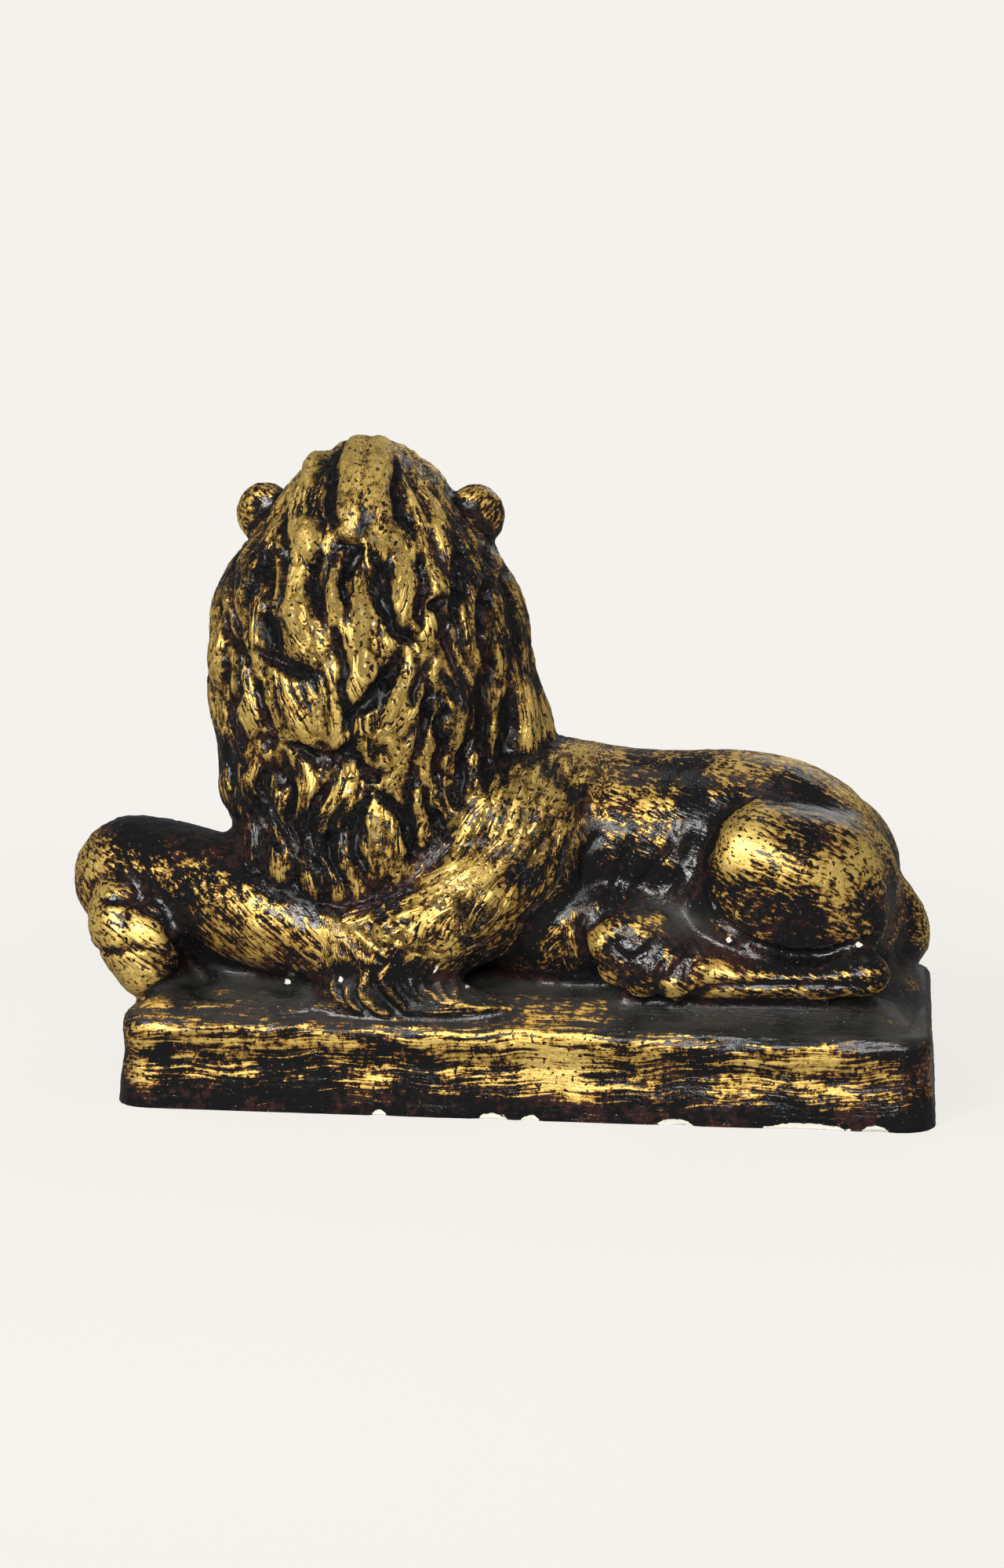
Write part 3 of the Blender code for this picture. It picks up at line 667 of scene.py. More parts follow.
@dataclass
class LockSweep:
    """Locks of hair gathered as spines on the skin, and swept into solid drops by geometry nodes."""

    rings: int = 14
    sides: int = 16
    sink: float = 0.25
    points: list[Vector] = field(default_factory=list)
    edges: list[tuple[int, int]] = field(default_factory=list)
    marks: dict[str, list] = field(
        default_factory=lambda: {name: [] for name in ("out", "girth", "rise", "run", "seed")}
    )

    def add(
        self,
        spine: list[SpinePoint | None],
        width: float,
        height: float,
        peak: float = 0.6,
        root: float = 0.4,
        tip: float = 0.1,
    ) -> None:
        """Adds one lock along a spine.

        Args:
            spine: Points on the skin with the way out of it; a spine that misses the skin is left out.
            width: The lock's full width, in metres.
            height: How proud it stands at its tip, in metres.
            peak: The share of its length where it is widest.
            root: The share of its width at its root.
            tip: The share of its width at its tip.
        """
        if None in spine:
            return
        places = [p for p, _ in spine]
        ways_out = [n for _, n in spine]
        seed = math.modf(abs(math.sin(len(self.points) * 12.9898)) * 437.585)[0]
        run = 0.0
        before = None
        for ring in range(self.rings):
            share = ring / (self.rings - 1)
            size = self.swell(share, peak, root, tip)
            centre = along(places, share)
            out = along(ways_out, share).normalized()
            run += (centre - before).length if before else 0.0
            before = centre
            if ring:
                self.edges.append((len(self.points) - 1, len(self.points)))
            self.points.append(centre - out * height * self.sink)
            self.marks["out"].append(out)
            self.marks["girth"].append(width / 2 * size)
            self.marks["rise"].append(height * (0.55 + 0.45 * share) * size)
            self.marks["run"].append(run)
            self.marks["seed"].append(seed)

    @staticmethod
    def swell(share: float, peak: float, root: float, tip: float) -> float:
        """The width of a lock along its length: from root, full at peak, then drawn in to tip."""
        if share < peak:
            return root + (1 - root) * math.sin(share / peak * math.pi / 2)
        return tip + (1 - tip) * math.cos((share - peak) / (1 - peak) * math.pi / 2)

    def swept(self, material: bpy.types.Material) -> bpy.types.Mesh:
        """Sweeps every lock along its spine.

        Args:
            material: The finish that the locks take.

        Returns:
            A mesh of closed locks, marked with how far along and across its lock each point is.
        """
        mesh = bpy.data.meshes.new("lock_spines")
        mesh.from_pydata(self.points, self.edges, [])
        for name, values in self.marks.items():
            kind, key = ("FLOAT_VECTOR", "vector") if name == "out" else ("FLOAT", "value")
            flat = np.array(values, np.float32).ravel()
            mesh.attributes.new(name, kind, "POINT").data.foreach_set(key, flat)
        return reworked(mesh, self.tree(), {"Sides": self.sides, "Finish": material})

    def tree(self) -> bpy.types.NodeTree:
        """Builds the nodes that turn each spine into a closed lock."""
        tree, graph, given = geometry_tree("sweep_locks", {"Sides": self.sides})
        curves = graph.node("GeometryNodeMeshToCurve", {"Mesh": given["Geometry"]}).outputs[0]
        centre = self.captured(graph, curves, graph.node("GeometryNodeInputPosition").outputs[0])
        onward = self.captured(graph, centre[0], graph.node("GeometryNodeInputTangent").outputs[0])
        ring = graph.node("GeometryNodeCurvePrimitiveCircle", {"Resolution": given["Sides"], "Radius": 1.0})
        around = graph.node("GeometryNodeInputPosition").outputs[0]
        corner = self.captured(graph, ring.outputs["Curve"], around)
        tube = graph.node(
            "GeometryNodeCurveToMesh", {"Curve": onward[0], "Profile Curve": corner[0], "Fill Caps": True}
        )
        out = self.read(graph, "out", "FLOAT_VECTOR")
        beside = graph.vector("NORMALIZE", graph.vector("CROSS_PRODUCT", onward[1], out))
        split = graph.node("ShaderNodeSeparateXYZ", {0: corner[1]}).outputs
        across = graph.sum("MULTIPLY", split["X"], self.read(graph, "girth"))
        crown = graph.sum("POWER", graph.sum("ABSOLUTE", split["Y"]), 0.72)
        crown = graph.sum("MULTIPLY", crown, graph.sum("SIGN", split["Y"]))
        upward = graph.sum("MULTIPLY", crown, self.read(graph, "rise"))
        spot = graph.vector("ADD", centre[1], graph.scaled(beside, across))
        spot = graph.vector("ADD", spot, graph.scaled(out, upward))
        moved = graph.node("GeometryNodeSetPosition", {"Geometry": tube.outputs[0], "Position": spot})
        send_out(graph, stored(graph, moved.outputs[0], "across", across), given["Finish"])
        return tree

    @staticmethod
    def captured(graph: Graph, geometry: object, value: object) -> tuple[object, object]:
        """Captures a vector on a geometry's points.

        Args:
            graph: The tree.
            geometry: The geometry's socket.
            value: The vector's socket.

        Returns:
            The geometry's socket and the captured vector's socket.
        """
        node = graph.node("GeometryNodeCaptureAttribute", {"Geometry": geometry})
        node.capture_items.new("VECTOR", "Value")
        graph.feed(node.inputs["Value"], value)
        return node.outputs["Geometry"], node.outputs["Value"]

    @staticmethod
    def read(graph: Graph, name: str, kind: str = "FLOAT") -> object:
        """Reads a named attribute in a geometry tree."""
        node = graph.node("GeometryNodeInputNamedAttribute", {"Name": name}, data_type=kind)
        return node.outputs["Attribute"]


@dataclass
class Mane:
    """The mane: the mass of the hair, its rows of locks, the ruff round the face and the beard."""

    axis: tuple[float, float] = (-84.0, -3.0)
    widest: float = 150.0
    quarter: float = 135.0
    face_centre: Place = (-84.0, 8.0, 203.0)
    root_overlap: float = 9.0
    filler_width: float = 15.0
    fullness: float = 1.34
    rows: tuple = (
        (
            (-82, -74, 18, 52, 15, 0), (-56, -29, 10, 60, 25, -4), (0, 2, 0, 50, 29, 0),
            (30, 27, 16, 56, 15, 2), (50, 47, 18, 53, 9, 0), (64, 60, 20, 57, 9, 0),
            (82, 78, 22, 60, 12, 0),
        ),
        (
            (-94, -84, 56, 112, 18, 0), (-76, -58, 44, 101, 21, 3), (-31, -14, 56, 118, 19, -9),
            (-12, -3, 50, 97, 9, 3), (5, 12, 60, 104, 14, -3), (26, 24, 53, 99, 13, 5),
            (44, 46, 56, 92, 12, -3), (56, 58, 72, 120, 12, 2), (70, 74, 54, 114, 14, 0),
            (86, 90, 50, 124, 17, 0),
        ),
        (
            (-74, -62, 96, 139, 16, 0), (-72, -60, 136, 166, 11, 6), (-50, -41, 104, 170, 13, -4),
            (-30, -11, 112, 166, 20, -3), (3, 8, 98, 145, 22, -3), (30, 9, 102, 174, 16, 9),
            (36, 20, 126, 182, 13, 10), (48, 44, 124, 178, 13, 5), (62, 63, 122, 180, 12, 0),
            (77, 76, 116, 182, 15, 0), (92, 88, 120, 186, 16, 0),
        ),
        (
            (-76, -58, 160, 204, 14, 0), (-36, -54, 152, 194, 13, -4), (-24, -18, 164, 203, 11, 4),
            (0, -15, 166, 212, 11, 4), (14, 14, 180, 225, 25, 0), (24, 35, 168, 214, 11, 6),
            (42, 47, 166, 206, 10, -4), (56, 50, 150, 202, 12, 0), (68, 60, 172, 216, 13, 0),
            (82, 70, 176, 214, 14, 0),
        ),
        (
            (-62, -42, 196, 238, 13, 4), (-42, -26, 190, 236, 12, 5), (-26, -10, 202, 246, 11, 3),
            (-12, -1, 208, 252, 10, 2), (4, 8, 220, 258, 10, 0), (27, 18, 212, 250, 11, -2),
            (40, 25, 204, 244, 12, -3), (54, 36, 198, 238, 12, -3),
        ),
    )
    side_rings: tuple = (
        (20, 72, (100, 118), 17), (66, 128, (106, 122), 18), (118, 182, (101, 117), 18),
        (172, 232, (98, 113), 17), (214, 258, (72, 90, 106), 16),
    )
    face_rings: tuple = ((42, 74, 15, 21, 4), (60, 96, 17, 22, -4), (84, 118, 17, 21, 4))

    def add_mass(self, clay: Clay) -> None:
        """Adds the mass under the locks: the crown, the bell of hair and its foot on the chest."""
        clay.ellipsoid((-84, 6, 207), (49, 48, 61))
        clay.ellipsoid((-83, -3, 153), (80, 63, 98))
        clay.ellipsoid((-83, -8, 106), (73, 56, 62))
        clay.ellipsoid((-84, -32, 72), (56, 34, 40))
        clay.ellipsoid((-52, -4, 106), (52, 52, 46), lean=22)
        clay.limb((-44, -4, 176, 34), (-31, -4, 140, 34), (-18, -2, 104, 28))
        clay.ellipsoid((-84, 16, 78), (54, 54, 60))

    def over_crown(self, skin: Skin, turn: float, drop: float) -> SpinePoint | None:
        """Finds a point of the mane.

        Args:
            skin: The skin under the mane.
            turn: The angle round the mane's axis from the back of the head, in degrees.
            drop: The way down from the crown, in figure units.

        Returns:
            The point with the way out of the skin, or nothing where the ray misses.
        """
        polar = min(drop / self.quarter, 1.0) * math.pi / 2
        below = max(drop - self.quarter, 0.0)
        angle = math.radians(turn)
        across = math.sin(polar)
        direction = Vector((math.sin(angle) * across, -math.cos(angle) * across, math.cos(polar)))
        return skin.hit(place(*self.axis, self.widest - below), direction)

    def round_face(self, skin: Skin, clock: float, tilt: float) -> SpinePoint | None:
        """Finds a point round the face.

        Args:
            skin: The skin under the mane.
            clock: The angle up from +X, seen from the front, in degrees.
            tilt: The angle away from the way the head looks, in degrees.

        Returns:
            The point with the way out of the skin, or nothing where the ray misses.
        """
        c, t = math.radians(clock), math.radians(tilt)
        direction = Vector((math.cos(c) * math.sin(t), math.cos(t), math.sin(c) * math.sin(t)))
        return skin.hit(place(*self.face_centre), direction)

    def add_locks(self, sweep: LockSweep, skin: Skin) -> None:
        """Adds the locks down the back and the sides of the head, each row staggered on the next."""
        for row in self.rows:
            for root_turn, tip_turn, start, end, width, sway in row:
                span = (start - self.root_overlap, end)
                self.add_lock(sweep, skin, (root_turn, tip_turn), span, width * self.fullness, sway)
            for left, right in zip(row, row[1:]):
                root_turn, tip_turn, start, end, _, sway = ((a + b) / 2 for a, b in zip(left, right))
                span = (start + 4, end + 12)
                self.add_lock(sweep, skin, (root_turn, tip_turn), span, self.filler_width, -sway, 0.8)
        for row, (start, end, sides, width) in enumerate(self.side_rings):
            for side in (-1, 1):
                for index, turn in enumerate(sides):
                    slip = 6 * math.sin(index * 2.7 + row * 1.9 + side)
                    sway = 3 * side * math.cos(index + row)
                    turned = (turn * side, turn * side)
                    self.add_lock(sweep, skin, turned, (start + slip, end + slip), width, sway)

    def add_lock(
        self,
        sweep: LockSweep,
        skin: Skin,
        turned: tuple[float, float],
        span: tuple[float, float],
        width: float,
        sway: float,
        share: float = 1.0,
    ) -> None:
        """Adds one lock of the mane, which swings out by its sway and back on its way down.

        Args:
            sweep: Where the lock goes.
            skin: The skin that it lies on.
            turned: The turns of its root and its tip, in degrees.
            span: The drops where it starts and ends, in figure units.
            width: Its width, in figure units.
            sway: How far it swings, in degrees.
            share: Its height as a share of a full lock's.
        """
        spine = []
        for step in range(6):
            down = step / 5
            turn = turned[0] + (turned[1] - turned[0]) * down + sway * math.sin(down * math.pi * 1.4)
            spine.append(self.over_crown(skin, turn, span[0] + (span[1] - span[0]) * down))
        sweep.add(spine, width * UNIT, LOCK_HEIGHT * share)

    def add_ruff(self, sweep: LockSweep, skin: Skin) -> None:
        """Adds the rings of locks that frame the face."""
        for row, (start, end, count, width, sway) in enumerate(self.face_rings):
            for index in range(2 * count):
                filler = index % 2
                clock = 180 * (index + row) / count + 90
                if row == 2 and 190 < clock % 360 < 350:
                    continue
                wave = sway * math.cos(index * 1.3)
                spine = []
                for step in range(5):
                    tilt = start + 6 * filler + (end - start) * step / 4
                    swing = wave * math.sin(step / 4 * math.pi * 1.5)
                    spine.append(self.round_face(skin, clock + swing, tilt))
                sweep.add(spine, width * (1 - 0.5 * filler) * UNIT, LOCK_HEIGHT * (0.85 - 0.25 * filler))

    def add_beard(self, sweep: LockSweep, skin: Skin) -> None:
        """Adds the beard, which hangs in rows from the chin down the chest."""
        for row in range(4):
            for index in range(-6, 7):
                filler = (index + row) % 2
                across = index * 9.5
                top = 156 - 30 * row - 6 * filler + 4 * math.cos(index * 1.9 + row)
                spine = []
                for step in range(5):
                    spread = across * (1 - 0.06 * step)
                    start = place(self.axis[0] + spread * 0.5, 0, top - 12 * step)
                    spine.append(skin.hit(start, Vector((0.012 * spread, 1, 0))))
                sweep.add(spine, (19 - 7 * filler) * UNIT, LOCK_HEIGHT * (0.85 - 0.25 * filler))


@dataclass
class ShoulderHair:
    """The hair that sweeps from the withers over both shoulders."""

    strands: int = 8
    tiers: int = 4
    near_mane: tuple = ((-4, 128), (-30, 88), (-86, 46))
    near_ribs: tuple = ((28, 114), (10, 66), (-22, 28))

    def add_sweep(self, sweep: LockSweep, skin: Skin) -> None:
        """Adds the strands that run down over both shoulders, each tier staggered on the one above."""
        inner = [Vector((x, 0, z)) for x, z in self.near_mane]
        outer = [Vector((x, 0, z)) for x, z in self.near_ribs]
        for side in Side:
            for tier in range(self.tiers):
                for index in range(self.strands):
                    spread = (index + 0.5 * (tier % 2)) / (self.strands - 0.5)
                    start = tier * 0.24 - 0.04 + 0.05 * math.sin(index * 2.3 + tier)
                    spine = []
                    for step in range(6):
                        share = start + 0.36 * step / 5
                        sway = 0.05 * math.sin(step * 1.1 + index + tier * 2)
                        spot = along(inner, share).lerp(along(outer, share), spread + sway)
                        spine.append(skin.hit(place(spot.x, 0, spot.z), Vector((0, side.value, 0))))
                    proud = (0.27 - 0.10 * spread) * (0.85 + 0.15 * math.cos(index * 2.1 + tier))
                    width = 10.5 - 2.5 * spread + 1.5 * math.sin(index * 1.7 + tier)
                    sweep.add(spine, width * UNIT, LOCK_HEIGHT * proud, peak=0.5, root=0.25)


@dataclass
class Carving:
    """The strokes that the modeller worked into the fused figure: channels and raised forms.

    Each stroke is its height in millimetres, less than nothing for a channel, its half width in millimetres
    and the places that it runs through, as x and z in figure units, seen from the side.
    """

    mane: tuple = (
        (-4.2, 2.4, (-94, 270), (-96, 261), (-96, 252), (-95, 242), (-92, 233)),
        (-4.2, 2.4, (-69, 265), (-66, 254), (-65, 244), (-60, 235), (-55, 228)),
        (-4.5, 2.2, (-51, 221), (-49, 209), (-49, 196), (-50, 184)),
        (-5.2, 2.7, (-75, 223), (-71, 216), (-68, 205), (-67, 196), (-62, 187), (-56, 180)),
        (-4.0, 2.0, (-76, 223), (-82, 216), (-86, 208), (-85, 199), (-83, 191)),
        (-4.6, 2.3, (-97, 222), (-100, 214), (-101, 206), (-99, 198), (-94, 188)),
        (-4.0, 2.0, (-90, 184), (-87, 178), (-85, 169), (-85, 158), (-83, 147), (-84, 135)),
        (-3.8, 2.2, (-121, 240), (-119, 227), (-117, 213), (-118, 201), (-119, 189)),
        (-3.6, 6.5, (-124, 192), (-121, 182), (-118, 174)),
        (-4.2, 2.7, (-132, 175), (-122, 170), (-112, 166), (-104, 163)),
        (-3.6, 2.0, (-145, 217), (-147, 202), (-145, 190), (-141, 180), (-136, 171), (-134, 164)),
        (-2.6, 3.9, (-126, 215), (-125, 206), (-123, 196)),
        (-4.0, 2.0, (-149, 193), (-148, 182), (-142, 174), (-138, 166), (-141, 155)),
        (-4.4, 2.7, (-47, 195), (-41, 197), (-37, 201)),
        (-3.6, 1.8, (-36, 191), (-38, 183), (-37, 175), (-34, 166)),
        (-3.8, 2.0, (-35, 220), (-34, 206), (-34, 194), (-33, 183), (-30, 173), (-27, 164)),
        (-4.0, 2.3, (-23, 218), (-21, 203), (-22, 189), (-20, 174), (-17, 159), (-17, 146)),
        (-3.0, 1.8, (-15, 223), (-13, 202), (-9, 185), (-6, 166)),
        (-5.2, 2.7, (-60, 172), (-63, 165), (-68, 157), (-74, 150), (-80, 146)),
        (-3.6, 1.8, (-51, 170), (-49, 162), (-51, 154), (-53, 148)),
        (-4.0, 2.0, (-42, 174), (-46, 166), (-45, 156), (-46, 147), (-48, 137), (-51, 128)),
        (-3.4, 2.3, (-142, 166), (-139, 155), (-143, 143), (-143, 130)),
        (-3.4, 1.8, (-127, 158), (-126, 146), (-122, 136), (-116, 133)),
        (-4.8, 3.5, (-128, 134), (-124, 129), (-120, 133)),
        (-4.6, 3.5, (-118, 126), (-116, 116), (-116, 107)),
        (-4.8, 2.7, (-114, 129), (-101, 124), (-90, 123), (-81, 130)),
        (-4.0, 2.3, (-81, 127), (-77, 119), (-72, 115), (-66, 117)),
        (-5.0, 2.2, (-73, 108), (-77, 98), (-80, 90), (-80, 82), (-78, 75), (-75, 70)),
        (-5.0, 2.2, (-69, 106), (-63, 102), (-58, 96), (-55, 89), (-53, 83), (-53, 78), (-56, 73)),
        (-3.6, 2.0, (-48, 140), (-50, 130), (-52, 120), (-52, 110)),
        (-4.0, 2.0, (-41, 156), (-39, 146), (-41, 137), (-40, 128), (-42, 118), (-40, 106), (-38, 98)),
        (-4.0, 2.0, (-27, 155), (-25, 143), (-27, 132), (-30, 121), (-31, 110), (-30, 100)),
        (-4.0, 2.7, (-20, 161), (-22, 150), (-21, 135), (-20, 120), (-18, 107)),
        (-4.0, 3.1, (-10, 152), (-10, 137), (-12, 122), (-11, 110)),
        (-3.0, 1.6, (-127, 115), (-127, 104), (-121, 95), (-115, 86), (-109, 77)),
        (-3.0, 1.6, (-134, 107), (-131, 95), (-125, 85), (-117, 77)),
        (-3.0, 1.8, (-110, 110), (-112, 98), (-111, 87), (-106, 75)),
        (-2.6, 1.6, (-104, 106), (-106, 95), (-106, 83)),
        (-3.6, 2.0, (-93, 111), (-98, 103), (-103, 94), (-102, 84), (-98, 72)),
        (-3.0, 1.6, (-85, 103), (-90, 94), (-93, 84), (-91, 73), (-87, 65)),
        (-3.6, 2.0, (-47, 110), (-45, 99), (-41, 91), (-36, 84)), (-2.8, 1.8, (-36, 110), (-33, 99)),
        (-2.6, 1.8, (-102, 124), (-96, 129), (-95, 122), (-101, 119)),
        (5.0, 8.6, (-89, 278), (-87, 264), (-85, 249), (-84, 234), (-88, 222)),
        (5.0, 8.6, (-78, 278), (-76, 264), (-76, 249), (-72, 234), (-64, 222)),
        (-2.8, 5.0, (-68, 268), (-60, 262), (-50, 254)), (3.6, 5.0, (-107, 264), (-108, 256), (-110, 246)),
        (3.6, 6.0, (-107, 236), (-105, 224), (-106, 216)), (2.2, 3.8, (-54, 253), (-47, 241), (-42, 230)),
        (2.4, 3.9, (-106, 205), (-109, 192), (-103, 177)), (2.2, 3.1, (-91, 214), (-90, 202), (-86, 189)),
        (2.6, 4.2, (-77, 211), (-76, 193), (-75, 175), (-75, 160)),
        (2.0, 3.3, (-63, 232), (-59, 214), (-60, 196)), (2.2, 3.8, (-138, 220), (-136, 204), (-136, 186)),
        (2.2, 3.4, (-150, 171), (-149, 162)), (2.2, 3.1, (-96, 163), (-96, 148), (-98, 137)),
        (2.0, 3.4, (-128, 152), (-128, 138)), (2.6, 3.7, (-56, 164), (-60, 151), (-65, 139)),
        (2.8, 4.4, (-70, 136), (-62, 132), (-61, 118)), (2.0, 2.9, (-43, 174), (-41, 167)),
        (2.2, 2.9, (-44, 141), (-45, 129), (-44, 116)), (2.6, 3.4, (-33, 151), (-33, 138), (-32, 126)),
        (2.4, 6.6, (-70, 97), (-68, 84), (-67, 72)), (2.0, 2.9, (-52, 103), (-48, 93)),
        (1.8, 2.5, (-26, 170), (-26, 159)),
    )
    flanks: tuple = (
        (-5.5, 6.0, (103, 103), (92, 98), (83, 86), (80, 74), (82, 62), (86, 54)),
        (-3.6, 2.2, (85, 73), (89, 59), (96, 49), (107, 41), (124, 35), (142, 35), (160, 41), (171, 43)),
        (-2.4, 2.0, (46, 15), (58, 10), (76, 12), (89, 19), (106, 21), (139, 22), (161, 22), (169, 24)),
        (-3.4, 2.2, (30, 49), (26, 40), (29, 30), (34, 19), (45, 15)),
        (-1.8, 2.6, (87, 96), (78, 83), (74, 72), (67, 60)),
        (-1.8, 2.2, (71, 90), (65, 77), (56, 65), (49, 55)),
        (-1.8, 2.2, (49, 88), (47, 76), (43, 65), (40, 56)), (-1.5, 2.0, (34, 87), (29, 76), (26, 63)),
        (-1.4, 2.0, (20, 85), (17, 74), (14, 63)), (-2.2, 1.8, (45, 36), (51, 32), (57, 35)),
        (-2.0, 1.8, (48, 25), (54, 33), (61, 37)), (-2.0, 1.8, (66, 17), (65, 26), (69, 33)),
        (-2.0, 1.8, (80, 16), (78, 25), (82, 32)), (2.0, 3.5, (36, 41), (36, 33)),
        (1.8, 3.1, (56, 44), (62, 41)), (1.8, 3.1, (74, 22), (69, 19)), (1.8, 3.1, (86, 31), (88, 27)),
    )
    near_side: tuple = (
        (-3.8, 2.4, (-216, 47), (-196, 49), (-178, 43), (-168, 28), (-164, 12), (-148, 7), (-130, 9)),
        (-1.8, 2.0, (-218, 20), (-205, 24), (-190, 27), (-182, 27)),
        (3.2, 2.4, (-73, 23), (-74, 18), (-76, 14), (-75, 10), (-70, 7), (-65, 4), (-59, 1)),
        (2.8, 1.9, (-63, 26), (-65, 21), (-64, 16), (-60, 12), (-56, 8), (-53, 4)),
        (2.4, 1.8, (-82, 14), (-82, 10), (-79, 6), (-75, 4)),
        (-2.4, 1.6, (-69, 22), (-70, 16), (-66, 11), (-61, 7), (-57, 3)),
        (-2.0, 1.6, (-78, 18), (-79, 12), (-76, 6), (-70, 3)),
        (-2.0, 1.6, (-59, 22), (-59, 16), (-55, 12), (-50, 8)),
        (2.0, 1.6, (-90, 20), (-90, 14), (-87, 9), (-83, 5)), (1.6, 1.2, (-68, 56), (-60, 48), (-50, 42)),
        (1.6, 1.2, (-74, 50), (-66, 42), (-56, 36)), (1.6, 1.2, (-80, 43), (-72, 36), (-60, 30)),
        (1.6, 1.2, (-86, 38), (-78, 31), (-66, 26)), (1.8, 1.4, (-54, 20), (-52, 16), (-48, 12), (-43, 9)),
        (1.8, 1.4, (-48, 18), (-46, 15), (-42, 13), (-38, 10)),
        (1.5, 1.4, (-42, 15), (-36, 9), (-25, 7), (-10, 6), (9, 6)),
        (1.6, 1.4, (-39, 19), (-35, 11), (-27, 9), (-18, 8)), (1.6, 1.6, (-31, 19), (-30, 9), (-24, 9)),
        (1.8, 2.0, (-92, 24), (-88, 29), (-81, 28)), (1.4, 1.6, (-99, 8), (-92, 12)),
        (1.2, 1.4, (-106, 3), (-93, 5), (-84, 7)),
        (-1.0, 3.0, (-192, -3), (-160, -1), (-128, -4), (-96, -1), (-60, -4), (-20, -2), (20, -4)),
        (-1.2, 3.0, (40, -3), (60, -2), (96, -5), (130, -2), (160, -4), (190, -2)),
        (1.2, 1.6, (-179, -9), (-158, -6), (-136, -4), (-119, -3)),
        (1.2, 1.6, (-117, -5), (-102, -1), (-94, 1)),
        (-1.4, 1.6, (-178, -5), (-155, -2), (-125, -1), (-99, 2)),
    )
    mane_breadth: float = 1.12
    spacing: float = 0.8
    wander: float = 0.7

    def cut(self, mesh: bpy.types.Mesh) -> None:
        """Works every stroke into a mesh.

        Args:
            mesh: The fused skin.
        """
        points, normals = points_of(mesh), normals_of(mesh)
        x, y, z = (points / UNIT).T
        z = z - PLINTH_HEIGHT / UNIT
        near = smooth_step(0.25, -0.15, normals[:, 1]) * smooth_step(12, 0, y)
        outward = smooth_step(-0.25, 0.15, normals[:, 1] * np.sign(y))
        height = self.relief(x, z, self.mane, self.mane_breadth) * near
        height += self.relief(x, z, self.near_side) * near
        height += self.relief(x, z, self.flanks) * outward
        points += normals * height[:, None] * UNIT
        mesh.vertices.foreach_set("co", points.astype(np.float32).ravel())
        mesh.update()

    def relief(self, x: np.ndarray, z: np.ndarray, strokes: tuple, breadth: float = 1.0) -> np.ndarray:
        """How far a set of strokes raises or sinks each place, in figure units.

        Args:
            x: The places' x.
            z: The places' z.
            strokes: The strokes.
            breadth: How much broader than stated they are.

        Returns:
            The height at each place, less than nothing in channels.
        """
        raised, sunk = np.zeros(len(x)), np.zeros(len(x))
        for number, (height, width, *spots) in enumerate(strokes):
            path = [Vector(spot) for spot in spots]
            length = sum((b - a).length for a, b in zip(path, path[1:]))
            share = np.linspace(0, 1, int(length / self.spacing) + 2)
            line = np.array([along(path, t) for t in share.tolist()])
            line[:, 0] += self.wander * np.sin(share * length * 0.35 + number)
            width *= breadth
            reach = 3 * width
            (low_x, low_z), (high_x, high_z) = line.min(0) - reach, line.max(0) + reach
            inside = np.nonzero((x > low_x) & (x < high_x) & (z > low_z) & (z < high_z))[0]
            gaps = np.hypot(x[inside, None] - line[:, 0], z[inside, None] - line[:, 1])
            nearest = gaps.argmin(1)
            taper = np.sqrt(np.sin(np.pi * np.clip(share, 0.02, 0.98)))[nearest]
            here = height * taper * np.exp(-((gaps.min(1) / (width * (0.6 + 0.4 * taper))) ** 2))
            kept = raised if height > 0 else sunk
            kept[inside] = np.maximum(kept[inside], here) if height > 0 else np.minimum(kept[inside], here)
        return raised + sunk


